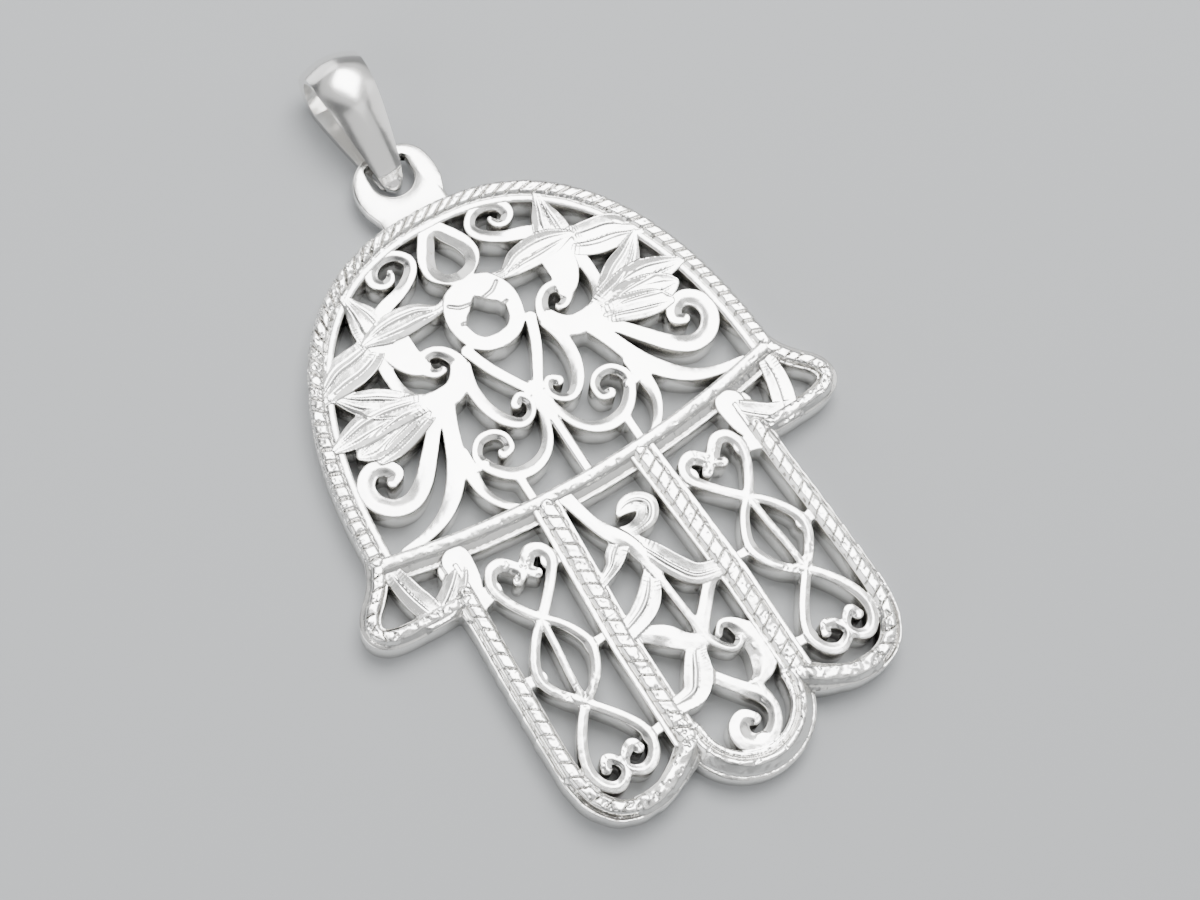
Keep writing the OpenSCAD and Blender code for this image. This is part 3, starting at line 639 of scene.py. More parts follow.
def even_edge(obj, fields, cell, rounds=5):
    """Spaces the outline's vertices evenly and brings them back onto the outline."""
    mesh = obj.data
    pairs = border_edges(mesh)
    co = points_of(mesh)
    on = np.unique(pairs)
    for _ in range(rounds):
        total = np.zeros((len(co), 3))
        for a, b in ((0, 1), (1, 0)):
            np.add.at(total, pairs[:, a], np.c_[co[pairs[:, b], :2], np.ones(len(pairs))])
        co[on, :2] = (1 - EVENING) * co[on, :2] + EVENING * total[on, :2] / total[on, 2:]
        dx, dy = sample(fields, "dx", co[on]), sample(fields, "dy", co[on])
        step = sample(fields, "depth", co[on]) / np.maximum(dx ** 2 + dy ** 2, LEAST_SLOPE)
        step = np.clip(step, -cell / 2, cell / 2)
        co[on, 0] -= step * dx
        co[on, 1] -= step * dy
    co[on, 2] = sample(fields, "z", co[on])
    place_points(mesh, co)


def pick(obj, kind, flags):
    """Selects vertices or faces by a list of flags, ready for edit mode."""
    bpy.context.tool_settings.mesh_select_mode = (kind == "vertices", False, kind == "polygons")
    mesh = obj.data
    for name in ("vertices", "edges", "polygons"):
        mesh_part = getattr(mesh, name)
        mesh_part.foreach_set("select", flags if name == kind else np.zeros(len(mesh_part), bool))
    mesh.update()


def trim(obj, flat, deep):
    """Cuts a laid grid to its metal: flat is 1 in the metal, 0 on its outline and -1 outside."""
    mesh = obj.data
    corners = np.empty(len(mesh.loops), int)
    mesh.loops.foreach_get("vertex_index", corners)
    corners = corners.reshape(-1, 4)
    states = flat[corners]
    unsure = (states.max(axis=1) == 0) & (deep[corners].mean(axis=1) < 0)
    pick(obj, "polygons", unsure | (states.max(axis=1) < 0))
    bpy.ops.object.mode_set(mode="EDIT")
    bpy.ops.mesh.delete(type="ONLY_FACE")
    bpy.ops.object.mode_set(mode="OBJECT")
    for method, ends in (("FIXED_ALTERNATE", (0, 2)), ("FIXED", (1, 3))):
        corners = np.full((len(mesh.polygons), 4), -1)
        sides = np.empty(len(mesh.polygons), int)
        starts = np.empty(len(mesh.polygons), int)
        loops = np.empty(len(mesh.loops), int)
        mesh.polygons.foreach_get("loop_total", sides)
        mesh.polygons.foreach_get("loop_start", starts)
        mesh.loops.foreach_get("vertex_index", loops)
        square = sides == 4
        corners[square] = loops[starts[square][:, None] + np.arange(4)]
        states = np.where(corners >= 0, flat[corners], 1)
        alone = (states < 0).sum(axis=1) == 1
        pick(obj, "polygons", alone & (states[:, ends] < 0).any(axis=1))
        bpy.ops.object.mode_set(mode="EDIT")
        bpy.ops.mesh.quads_convert_to_tris(quad_method=method)
        bpy.ops.object.mode_set(mode="OBJECT")
    pick(obj, "vertices", flat < 0)
    bpy.ops.object.mode_set(mode="EDIT")
    bpy.ops.mesh.delete(type="VERT")
    bpy.ops.mesh.select_all(action="SELECT")
    bpy.ops.mesh.delete_loose(use_verts=True, use_edges=True, use_faces=False)
    bpy.ops.object.mode_set(mode="OBJECT")


def draw_out(obj):
    """Extrudes the open edges of a skin in place, and tells which vertices are new."""
    bpy.context.tool_settings.mesh_select_mode = (False, True, False)
    bpy.ops.object.mode_set(mode="EDIT")
    bpy.ops.mesh.select_all(action="DESELECT")
    bpy.ops.mesh.select_non_manifold(
        use_wire=False, use_multi_face=False, use_non_contiguous=False, use_verts=False)
    bpy.ops.mesh.extrude_edges_move()
    bpy.ops.object.mode_set(mode="OBJECT")
    chosen = np.empty(len(obj.data.vertices), bool)
    obj.data.vertices.foreach_get("select", chosen)
    return chosen


def close_down(obj, fields, bevel, low):
    """A rounded edge along the outline of a skin, walls below it and a flat back."""
    for share_out, share_down in BEVEL_RINGS:
        chosen = draw_out(obj)
        co = points_of(obj.data)
        dx, dy = sample(fields, "dx", co[chosen]), sample(fields, "dy", co[chosen])
        out = -np.c_[dx, dy] / np.maximum(np.hypot(dx, dy), 0.3)[:, None]
        co[chosen, :2] += out * bevel * share_out
        co[chosen, 2] -= bevel * share_down
        place_points(obj.data, co)
    chosen = draw_out(obj)
    co = points_of(obj.data)
    co[chosen, 2] = low
    place_points(obj.data, co)
    bpy.ops.object.mode_set(mode="EDIT")
    bpy.ops.mesh.fill(use_beauty=False)
    bpy.ops.object.mode_set(mode="OBJECT")


def finish_piece(objs, name, body, angle=38):
    """Joins solids into one piece, closes their ends and turns every face outward."""
    clear_selection()
    for o in objs:
        o.select_set(True)
    bpy.context.view_layer.objects.active = objs[0]
    if len(objs) > 1:
        bpy.ops.object.join()
    obj = bpy.context.active_object
    obj.name = obj.data.name = name
    bpy.ops.object.mode_set(mode="EDIT")
    bpy.ops.mesh.select_all(action="SELECT")
    bpy.ops.mesh.remove_doubles(threshold=1e-7)
    bpy.ops.mesh.select_all(action="SELECT")
    bpy.ops.mesh.fill_holes(sides=0)
    bpy.ops.mesh.select_all(action="SELECT")
    bpy.ops.mesh.normals_make_consistent(inside=False)
    bpy.ops.object.mode_set(mode="OBJECT")
    bpy.ops.object.shade_smooth_by_angle(angle=math.radians(angle))
    obj.data.materials.clear()
    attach(obj, body)
    return obj


# Materials
# A buffing wheel leaves patches of more and less polish about 3 mm wide. Within 0.8 mm of a wall the colour
# darkens towards a shade colour: painted shade in the hollows. The dimples are drawn 0.05 mm deep, at a
# strength that each material gives.
PATCH_SIZE = 3.0
HOLLOW_REACH = 0.8
DIMPLE_DEPTH = 0.05


def linear(code):
    """An sRGB hex colour as linear red, green, blue and alpha."""
    parts = [int(code[i:i + 2], 16) / 255 for i in (1, 3, 5)]
    return tuple(c / 12.92 if c <= 0.04045 else ((c + 0.055) / 1.055) ** 2.4 for c in parts) + (1.0,)


def add(tree, kind, inputs=(), **options):
    """Adds a node with its options, and gives each input a value or a link from another node's socket."""
    node = tree.nodes.new(kind)
    for key, value in options.items():
        setattr(node, key, value)
    for key, value in dict(inputs).items():
        if isinstance(value, bpy.types.NodeSocket):
            tree.links.new(value, node.inputs[key])
        else:
            node.inputs[key].default_value = value
    return node


def silver(name, colour, shade, rough, dimple_strength, dimple_size):
    """Silver polished to a range of roughness, with painted shade darkening its hollows, and fine dimples.
    """
    if name in bpy.data.materials:
        return bpy.data.materials[name]
    mat = bpy.data.materials.new(name)
    mat.use_nodes = True
    tree = mat.node_tree
    tree.nodes.clear()
    place = add(tree, "ShaderNodeTexCoord").outputs["Object"]
    patches = add(tree, "ShaderNodeTexNoise", {
        "Vector": place, "Scale": 1 / (PATCH_SIZE * MM), "Detail": 3.0, "Roughness": 0.6})
    dimples = add(tree, "ShaderNodeTexNoise", {
        "Vector": place, "Scale": 1 / (dimple_size * MM), "Detail": 4.0, "Roughness": 0.55})
    polish = add(tree, "ShaderNodeMapRange", {
        "Value": patches.outputs["Fac"], "From Min": 0.3, "From Max": 0.7,
        "To Min": rough[0], "To Max": rough[1]})
    # Painted shade: ambient occlusion within HOLLOW_REACH mixes the colour towards the shade colour
    hollow_shade = add(tree, "ShaderNodeAmbientOcclusion", {"Distance": HOLLOW_REACH * MM}, samples=16)
    tint = add(tree, "ShaderNodeMix", {
        "Factor": hollow_shade.outputs["AO"], "A": shade, "B": colour}, data_type="RGBA")
    bump = add(tree, "ShaderNodeBump", {
        "Height": dimples.outputs["Fac"], "Distance": DIMPLE_DEPTH * MM, "Strength": dimple_strength})
    metal = add(tree, "ShaderNodeBsdfPrincipled", {
        "Base Color": tint.outputs["Result"], "Metallic": 1.0, "Roughness": polish.outputs["Result"],
        "Normal": bump.outputs["Normal"]})
    add(tree, "ShaderNodeOutputMaterial", {"Surface": metal.outputs["BSDF"]})
    return mat


def cast_silver(settings):
    """The silver of the hand."""
    # Lost-wax cast, tumbled and hand-polished: bright, softly dimpled tops over hollows greyed by painted
    # shade. The dimples of a casting are about 0.1 mm wide, too fine to show, so they are drawn 0.35 mm
    # wide.
    return silver(
        "cast silver, tumbled and polished", settings.cast_colour, settings.cast_painted_shade,
        rough=(0.15, 0.26), dimple_strength=0.18, dimple_size=0.35)


def strip_silver(settings):
    """The silver of the bail."""
    # Rolled strip, bent and buffed: smoother than the casting, so it mirrors the room in longer, softer
    # waves. Those waves are about as wide as the strip is thick, 0.6 mm.
    # Painted shade: the bail's hollows are darkened towards the strip's shade colour, as the casting's are
    return silver(
        "rolled silver strip, polished", settings.strip_colour, settings.strip_painted_shade,
        rough=(0.15, 0.22), dimple_strength=0.1, dimple_size=0.6)


def paper(settings):
    """The paper that the pendant lies on."""
    # Uncoated background paper: matt and even, so it shows the shadow and no reflection
    mat = bpy.data.materials.new("background paper, uncoated")
    mat.use_nodes = True
    mat.node_tree.nodes.clear()
    sheet = add(mat.node_tree, "ShaderNodeBsdfPrincipled", {
        "Base Color": settings.floor_colour, "Roughness": 0.9})
    add(mat.node_tree, "ShaderNodeOutputMaterial", {"Surface": sheet.outputs["BSDF"]})
    return mat


def coat(obj, mat):
    """Gives a piece its material."""
    obj.data.materials.append(mat)


# Pieces
# Grid cells of the reliefs: of the fingers, then of the other fields
CELL = 0.05
PALM_CELL, LEAF_CELL, BORDER_CELL, BAND_CELL = 0.056, 0.045, 0.045, 0.055
# What the palm's relief covers, as x from and to and y from and to
PALM_BOX = (-13.2, 13.2, 0.2, 19.0)
# Where an outer finger's relief starts, beside the middle finger, and how far down and up it reaches
FINGER_NEAR = 2.6
FINGER_LOW, FINGER_HIGH = -FINGER_LEN * 1.05, 4.0
# Palm: the scrolls that don't tilt, the tilt of the others, and the depth of the dish round each hole
FLAT_SCROLLS = ("teardrop", "ring", "ring_cheek", "stem_fill", "leaf_lobe")
PALM_TILT = 0.13
TEARDROP_DISH, RING_DISH = 0.2, 0.02
# Leaves: how wide and how much lower the bed under each palm leaf is, how far leaves rise over the scrolls,
# what each has over the one before it, and the height of the palm leaves' own backs, inside the metal
BED_SHARE, BED_DROP = 0.86, 0.12
PALM_LEAF_LIFT, MIDDLE_LEAF_LIFT, LEAF_RANK = 0.05, 0.03, 0.012
LEAF_LOW = 0.3
# Rims: offset from the middle line, towards the outside, and width of each edge, rope, worn end and groove
OUTER_EDGE, INNER_EDGE = (RIM_W * 0.4 - 0.04, 0.12), (-RIM_W * 0.4 + 0.12, 0.2)
FINGER_ROPE, FINGER_END = (-0.14, 0.82), (-0.12, 0.7)
FINGER_GROOVE = (RIM_W * 0.4 - 0.22, 0.14)
THUMB_ROPE, THUMB_END = (-0.08, 0.78), (-0.12, 0.5)
MIDDLE_END, MIDDLE_EDGE, MIDDLE_GROOVE = (0.1, 0.3), (0.6, 0.22), (0.38, 0.16)
# The lengths along a rim where these start and end, None being the rim's own end, and their points
FINGER_ROPE_RUN, FINGER_END_RUN, FINGER_GROOVE_RUN = (1.6, 18.4, 60), (17.6, None, 30), (1.6, 16.6, 50)
THUMB_ROPE_RUN, THUMB_END_RUN = (0.4, 5.6, 40), (5.2, None, 30)
# How softly a narrow edge merges with its rim
EDGE_MERGE = 0.05


def both(rows, field, *args, **kw):
    """A stroke on the right half of the hand and its mirror image on the left."""
    return [stroke(sized(rows, field, m), *args, **kw) for m in (False, True)]


def cast_piece(obj, name, settings, angle=38):
    """Finishes a piece of the casting."""
    obj = finish_piece([obj], name, "hand_body", angle)
    coat(obj, cast_silver(settings))
    return obj


def build_palm(settings):
    """The palm's scrolls, and the leaves that lie on them."""
    z = settings.scroll_z / MM
    strokes = []
    for name, rows in PALM.items():
        strokes += both(rows, "palm", z=z, tilt=0 if name in FLAT_SCROLLS else PALM_TILT)
    for rows in PALM_LEAVES.values():
        bed = [[x, y, width * BED_SHARE] for x, y, width in rows]
        strokes += both(bed, "palm", z=z - BED_DROP, tilt=0)
    holes = [(loop_of(PALM_HOLES["teardrop"]), TEARDROP_DISH), (loop_of(PALM_HOLES["ring"]), RING_DISH)]
    cuts = [sized(rows, "palm", m) for rows in PALM_CUTS for m in (False, True)]
    obj = cast_piece(relief(strokes, PALM_BOX, PALM_CELL, cuts, holes), "palm_openwork", settings)
    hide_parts("hand")
    strokes = []
    for k, rows in enumerate(PALM_LEAVES.values()):
        top = z + PALM_LEAF_LIFT + LEAF_RANK * k
        strokes += both(rows, "palm", "leaf", z=top, petal=0.15, veins=[-0.12, 0.5], lines=[-0.5])
    cast_piece(relief(strokes, PALM_BOX, LEAF_CELL, low=LEAF_LOW), "palm_leaves", settings)


def finger_rim(z, mirror):
    """A finger's rim: its bed, which falls away at the tip, two edges, a rope and the rope's worn end."""
    out = -1 if mirror else 1
    rim = sized(FINGER_RIM, "finger_rim", mirror)
    bed = PLATE_T + 0.12
    rope = stretch(beside(rim, out, *FINGER_ROPE), *FINGER_ROPE_RUN)
    end = stretch(beside(rim, out, *FINGER_END), *FINGER_END_RUN)
    return [
        stroke(rim, z=bed, tilt=0, slope=([0, 0.62, 0.72, 0.9], [0, 0, 0.75, 0.6]), side=out,
               worn=([0.5, 0.7], [0, 0.05])),
        stroke(beside(rim, out, *OUTER_EDGE), z=bed, tilt=0, merge=EDGE_MERGE),
        stroke(beside(rim, out, *INNER_EDGE), z=z, tilt=0, merge=EDGE_MERGE),
        rope_stroke(rope, "finger", mirror),
        stroke(end, z=z + 0.18, tilt=0, crown=0.05, round=0.05, worn=0.09),
    ]


def finger_groove(mirror):
    """The groove between a finger's rope and its outer edge."""
    rim = sized(FINGER_RIM, "finger_rim", mirror)
    return stretch(beside(rim, -1 if mirror else 1, *FINGER_GROOVE), *FINGER_GROOVE_RUN)


def thumb_rim(z, mirror):
    """A thumb's rim: its bed, a rope and the rope's worn end."""
    out = -1 if mirror else 1
    rim = sized(THUMB_RIM, "thumb_rim", mirror)
    rope = stretch(beside(rim, out, *THUMB_ROPE), *THUMB_ROPE_RUN)
    end = stretch(beside(rim, out, *THUMB_END), *THUMB_END_RUN)
    return [
        stroke(rim, z=PLATE_T + 0.1, tilt=0, slope=0.1, side=out, start=0.3),
        rope_stroke(rope, "thumb", mirror),
        stroke(end, z=z + 0.1, tilt=0, crown=0.04, worn=0.08),
    ]


def build_fingers(settings):
    """The outer fingers with their hearts, lenses and drops, and the thumbs beside them."""
    z = settings.scroll_z / MM
    worn = ([0, 0.7, 0.8, 1], [0, 0, 0.05, 0.05])
    strokes = []
    for rows in FINGER.values():
        strokes += both(rows, "finger", z=z + 0.04, roof=0.035, tilt=0.06, worn=worn)
    for rows in FINGER_TIES:
        strokes += both(rows, "finger", z=z - 0.05, tilt=0)
    for rows in THUMB_LEAVES.values():
        strokes += both(rows, "thumb", "leaf", z=z, petal=0.15, veins=[0.05])
    for mirror in (False, True):
        strokes += finger_rim(z, mirror) + thumb_rim(z, mirror)
    grooves = [finger_groove(mirror) for mirror in (False, True)]
    far = FINGER_EDGE + THUMB_W
    for name, left, right in (("right_finger", FINGER_NEAR, far), ("left_finger", -far, -FINGER_NEAR)):
        cast_piece(relief(strokes, (left, right, FINGER_LOW, FINGER_HIGH), CELL, grooves), name, settings)


def divider(z, mirror):
    """A divider beside the middle finger: its bed, an edge on each side and a rope between them."""
    outer = divider_line(DIVIDER_W / 2 - RAIL_W * 0.3, RAIL_W * 0.5, mirror=mirror)
    inner = divider_line(-DIVIDER_W / 2 + RAIL_W * 0.2, RAIL_W * 0.36, mirror=mirror)
    return [
        stroke(divider_line(0, DIVIDER_W, mirror=mirror), z=PLATE_T + 0.1, tilt=0),
        stroke(outer, z=z + 0.03, tilt=0, merge=EDGE_MERGE),
        stroke(inner, z=z, tilt=0, merge=EDGE_MERGE),
        rope_stroke(divider_line(-RAIL_W * 0.1, ROPE_W + 0.1, 0.99, mirror), "divider", mirror),
    ]


def build_middle(settings):
    """The middle finger with its field, round end and two roped dividers."""
    z = settings.scroll_z / MM
    strokes = []
    for rows in list(MIDDLE.values()) + MIDDLE_TIES:
        strokes.append(stroke(sized(rows, "middle"), z=z, roof=0.03))
    for k, rows in enumerate(MIDDLE_LEAVES.values()):
        top = z + MIDDLE_LEAF_LIFT + LEAF_RANK * k
        strokes.append(stroke(sized(rows, "middle"), "leaf", z=top, petal=0.16, veins=[0.1], lines=[-0.4]))
    rim = middle_rim(RIM_W / 2, RIM_W)
    strokes += [
        stroke(rim, z=z - 0.02, tilt=0, slope=0.75, side=-1, start=-0.1, round=0.12, worn=0.03),
        stroke(beside(rim, 1, *MIDDLE_END), z=z + 0.12, tilt=0, crown=0.04, worn=0.07),
        stroke(beside(rim, 1, *MIDDLE_EDGE), z=z + 0.02, tilt=0, worn=0.02),
    ]
    grooves = [beside(rim, 1, *MIDDLE_GROOVE)]
    strokes += divider(z, False) + divider(z, True)
    edge = DIVIDER_X + DIVIDER_W
    box = (-edge, edge, -MIDDLE_LEN - 0.1, 1.0)
    cast_piece(relief(strokes, box, CELL, grooves), "middle_finger", settings)


def build_border(settings):
    """The rope border of the palm with its inner rail, and the band across the hand."""
    z = settings.scroll_z / MM
    strokes = [
        stroke(arch(RIM_W * 0.5, RIM_W * 0.8), z=PLATE_T, tilt=0),
        stroke(arch(ROPE_W + RAIL_W * 0.32, RAIL_W), z=z, crown=0.05, tilt=0),
        rope_stroke(arch(ROPE_W / 2, ROPE_W, 4, 176), "border"),
    ]
    box = (-PALM_HALF, PALM_HALF, 0.1, PALM_H)
    cast_piece(relief(strokes, box, BORDER_CELL), "rope_border", settings)
    half = BAND_W / 2
    ridge = band_line(half * 0.5, half)
    slope = band_line(-half * 0.35, half * 1.7)
    lip = band_line(-half * 1.1, half * 0.3)
    strokes = [
        stroke(ridge, z=PLATE_T + 0.42, tilt=0, crown=0.05, round=0.14),
        stroke(slope, z=PLATE_T + 0.4, tilt=0, slope=0.62, side=-1, start=-0.6, round=0.05, worn=0.03),
        stroke(lip, z=PLATE_T + 0.06, tilt=0, crown=0.03, merge=EDGE_MERGE, worn=0.02),
    ]
    box = (-PALM_HALF, PALM_HALF, -BAND_W, BAND_RISE + BAND_W)
    cast_piece(relief(strokes, box, BAND_CELL, rough=0.02), "band", settings)


# Eye: half width of its foot as a share of its width, how far below its widest place the foot and the cheek
# over it end, the cheek's half width as a share, superellipse powers of its right and left shoulder, corner
# radius of its hole, and points round it
FOOT_SHARE = 0.42
FOOT_DROP, CHEEK_DROP, CHEEK_SHARE = 1.6, 0.7, 0.97
SHOULDER_RIGHT, SHOULDER_LEFT = 2.8, 2.2
HOLE_CORNER = 0.25
EYE_POINTS = 144


def eye_outline(steps=40):
    """The eye's outer edge, from its right foot over the top to its left foot."""
    middle = BAR_Y + EYE_BAR_W / 2 - EYE_W / 2
    foot = EYE_W * FOOT_SHARE
    r = EYE_W / 2
    right = [[foot, PALM_H - ROPE_W], [foot, middle - FOOT_DROP], [r * CHEEK_SHARE, middle - CHEEK_DROP]]
    arc = np.radians(np.linspace(0, 180, steps))
    across = np.cos(arc)
    power = 2 / np.where(across > 0, SHOULDER_RIGHT, SHOULDER_LEFT)
    curve = np.c_[r * np.sign(across) * np.abs(across) ** power, middle + r * np.sin(arc) ** power]
    return np.vstack([right, curve, [[-x, y] for x, y in right[::-1]]])


def eye_hole(steps=28):
    """The eye's hole: round below, with small corners under the bar."""
    top = BAR_Y - EYE_BAR_W / 2
    r = EYE_HOLE_W / 2
    mid = top - EYE_HOLE_H + r
    c = HOLE_CORNER
    low = np.radians(np.linspace(180, 360, steps))
    pts = [[r * math.cos(a), mid + r * math.sin(a)] for a in low]
    pts += [[r - c + c * math.cos(a), top - c + c * math.sin(a)] for a in np.radians([0, 30, 60, 90])]
    pts += [[-r + c + c * math.cos(a), top - c + c * math.sin(a)] for a in np.radians([90, 120, 150, 180])]
    return np.array(pts)


def eye_loop(outline):
    """An outline of the eye as evenly spaced points, in the order of their angle about its hole."""
    loop = even(outline, EYE_POINTS)
    middle = BAR_Y - EYE_BAR_W / 2 - EYE_HOLE_H / 2
    return loop[np.argsort(np.arctan2(loop[:, 1] - middle, loop[:, 0]))]


def rounded(edge, inward, r, face, up, angles):
    """Rows of points that round an edge off into a face: up is 1 at the front and -1 at the back."""
    rows = []
    for a in np.radians(angles):
        height = np.full(len(edge), face - up * r + up * r * math.sin(a))
        rows.append(np.c_[edge + inward * r * (1 - math.cos(a)), height])
    return rows


def build_eye(settings):
    """The eye at the top of the hand, with rounded edges."""
    outer, hole = eye_loop(eye_outline()), eye_loop(eye_hole())
    r = settings.eye_round / MM
    back, front = BAR_Z - EYE_T / 2, BAR_Z + EYE_T / 2
    inward = (hole - outer) / np.linalg.norm(hole - outer, axis=1)[:, None]
    rows = rounded(outer, inward, r, front, 1, (0, 30, 60, 90))
    for share in (0.33, 0.66):
        face = (outer + inward * r) * (1 - share) + (hole - inward * r) * share
        rows.append(np.c_[face, np.full(EYE_POINTS, front)])
    rows += rounded(hole, -inward, r, front, 1, (90, 60, 30, 0))
    rows += rounded(hole, -inward, r, back, -1, (0, 45, 90))
    rows += rounded(outer, inward, r, back, -1, (90, 45, 0))
    rows.append(rows[0])
    pts = np.stack(rows, axis=1)
    pts = np.concatenate([pts, pts[:1]], axis=0)
    cast_piece(laid_grid(pts)[0], "eye", settings, 50)


# Bail: radius of the strip's middle line round the bar and over the top
BAR_R, OVER_R = BEND_OUT - BAIL_T / 2, TOP_R - BAIL_T / 2
# Where its two leaves meet, from the tip: distance from the bar and half the gap of their middle lines
JOIN = [[0.5 - BAIL_TIP, BAR_R * 0.28], [-BAR_R * 1.35, BAR_R * 0.5], [-BAR_R * 0.75, BAR_R * 0.78]]
# Widths, as a share of the tip's length and of the neck, then of the way to the top and of the widening
TIP_WIDTHS = ((1, 0.34), (0.9, 0.48), (0.7, 0.64), (0.35, 0.86), (0, 1.02))
BODY_WIDTHS = ((0.3, 0.5), (0.6, 0.88), (0.85, 1), (1, 1))
# What is left of the strip's thickness at the tip, how much its inner edges are slimmed and how much more
# where it is narrow, so that it clears the bar, and its inside's width as a share of its outside's
TIP_THIN = 0.4
SLIM, SLIM_NARROW = 0.07, 0.3
INNER_SHARE = 0.96
# The soldered tip: length and half depth of its blunt end, power that squares its section, its width as a
# share of the strip's, and the size of the solder's lumps
BLUNT, BLUNT_DEPTH = 0.4, 0.28
TIP_SQUARE = 0.6
TIP_SHARE = 0.985
SOLDER_LUMP = 0.42
# How far the bail stays over the surface
LEAST_Z = 0.002


def bail_half_width(along):
    """Half width of the bail at a distance from the bar, towards the bail's top."""
    neck, top = BAIL_NECK_W / 2, BAIL_TOP_W / 2
    end = BAIL_REACH + TOP_R
    rows = [[-BAIL_TIP * share, neck * width, 0] for share, width in TIP_WIDTHS]
    rows += [[end * share, neck + (top - neck) * width, 0] for share, width in BODY_WIDTHS]
    line = smooth(rows)
    return np.interp(along, line[:, 0], line[:, 1])


def as_laid(pts):
    """Turns points of the bail, given from its bar, to how it lies."""
    x, a, b = pts[..., 0], pts[..., 1], pts[..., 2]
    c, s = math.cos(BAIL_TILT), math.sin(BAIL_TILT)
    return np.dstack([x, BAR_Y + a * c - b * s, np.maximum(BAR_Z + a * s + b * c, LEAST_Z)])


def bail_line(bow):
    """The strip's middle line from its side: from the tip up the front, over the top and down the back."""
    rise = OVER_R - BAR_R
    front = JOIN + [
        [0, BAR_R + bow * 0.3],
        [BAIL_REACH * 0.35, BAR_R + rise * 0.35 + bow * 0.9],
        [BAIL_REACH * 0.7, BAR_R + rise * 0.7 + bow]]
    angles = np.radians([0, 30, 60, 90, 120, 150, 180, 194])
    over = [[BAIL_REACH + OVER_R * math.sin(a), OVER_R * math.cos(a)] for a in angles]
    back = [[-BAR_R * math.sin(BAIL_TILT), -BAR_R * math.cos(BAIL_TILT)]] + [[x, -y] for x, y in JOIN[::-1]]
    rows = smooth([[x, y, 0] for x, y in front + over + back], 16)
    line = stretch(rows, 0, None, 190)
    for _ in range(3):
        line[1:-1] = (line[:-2] + 2 * line[1:-1] + line[2:]) / 4
    return line


def bail_strip(line, fall):
    """The bent strip: domed outside, with its edges lower than its middle by the fall at the top."""
    _, side = normals(line)
    outward = side if side[len(side) // 4][1] > 0 else -side
    half = bail_half_width(line[:, 0])
    share = half / (BAIL_TOP_W / 2)
    dome = fall * share ** 1.5
    dome = np.where(line[:, 1] < 0, dome * ramp(line[:, 0], BAIL_REACH, BAIL_REACH + OVER_R), dome)[:, None]
    body = ramp(line[:, 0], 0.5 - BAIL_TIP, -BAR_R * 0.9)
    thick = (BAIL_T * (TIP_THIN + (1 - TIP_THIN) * body))[:, None]
    slim = (SLIM + SLIM_NARROW * (1 - share))[:, None]
    rows = []
    for k in np.sin(np.linspace(-1, 1, 21) * math.pi / 2):
        rows.append(np.c_[half * k, line[:, :2] + outward * (thick / 2 - dome * k * k)])
    for k in np.sin(np.linspace(1, -1, 13) * math.pi / 2):
        inner = thick / 2 + dome * k * k - slim * abs(k)
        rows.append(np.c_[half * k * INNER_SHARE, line[:, :2] - outward * inner])
    rows.append(rows[0])
    return laid_grid(as_laid(np.stack(rows, axis=1)))[0]


def bail_tip(uneven):
    """The solder that fills the join of the two leaves, with a blunt end."""
    reach = np.r_[np.linspace(-BAR_R * 0.78, 0.16 - BAIL_TIP, 26), 0.07 - BAIL_TIP, 0.02 - BAIL_TIP]
    ease = np.sqrt(np.clip(1 - (1 - (reach + BAIL_TIP) / BLUNT).clip(0, 1) ** 2, 0.02, 1))
    wide = bail_half_width(reach) * (TIP_SHARE * ease)
    places = [-BAIL_TIP] + [x for x, _ in JOIN]
    depths = [BLUNT_DEPTH, JOIN[0][1] + BAIL_T * 0.24, JOIN[1][1] + BAIL_T * 0.2, JOIN[2][1]]
    deep = np.interp(reach, places, depths) * ease
    rows = []
    for a in np.linspace(0, 2 * math.pi, 33):
        c, s = math.cos(a), math.sin(a)
        bulge = 1 + uneven * ripple(reach * 2.1 + 9, c + 5 + reach * 0, SOLDER_LUMP, 8)
        x = wide * abs(c) ** TIP_SQUARE * np.sign(c)
        rows.append(np.c_[x, reach, deep * bulge * abs(s) ** TIP_SQUARE * np.sign(s)])
    return laid_grid(as_laid(np.stack(rows, axis=1)))[0]


def build_bail(settings):
    """A domed strip bent from the soldered tip up the front, over the top and down the back."""
    strip = bail_strip(bail_line(settings.bail_bow / MM), settings.bail_dome / MM)
    tip = bail_tip(settings.solder)
    obj = finish_piece([strip, tip], "bail_strip", "bail_body", 50)
    coat(obj, strip_silver(settings))
    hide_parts("bail")


# Stage
# Softboxes: name, place, what each is aimed at, side and share of its setting's power
SOFTBOXES = [
    ("key softbox", (66, 68, 220), (0, 0, 0), 150, "key_power", 1.0),
    ("wide softbox", (85, 88, 285), (0, 0, 0), 480, "wide_power", 1.0),
    ("left softbox", (-190, -10, 100), (0, 0, 0), 190, "side_power", 1.0),
    ("right softbox", (200, -40, 110), (0, 0, 0), 160, "side_power", 0.35),
    ("back softbox", (-20, 240, 110), (0, 0, 0), 190, "side_power", 0.7),
    ("front softbox", (30, -170, 170), (0, 20, 0), 240, "front_power", 1.0),
]
# The room's light: its colour, and how high the horizon's strength ends and the sky's begins, from 0 to 1
ROOM_LIGHT = linear("#D6D8DA")
HORIZON_TOP, SKY_START = 0.1, 0.6
# Side of the paper, which reaches past the picture
FLOOR_SIDE = 2000
# The camera, at the photograph's viewing angle: place, turn in degrees, focal length and width of its sensor
CAMERA_PLACE = (-30.1, -28.93, 116.8)
CAMERA_TURN = (20.15, -5.01, -32.62)
CAMERA_LENS, CAMERA_SENSOR = 66, 36


def softbox(name, place, aim, side, power):
    """A square area light aimed at a point."""
    bpy.ops.object.light_add(type="AREA", location=[v * MM for v in place])
    light = bpy.context.active_object
    light.name = name
    light.rotation_euler = (Vector(place) - Vector(aim)).to_track_quat("Z", "Y").to_euler()
    light.data.shape = "SQUARE"
    light.data.size = side * MM
    light.data.energy = power


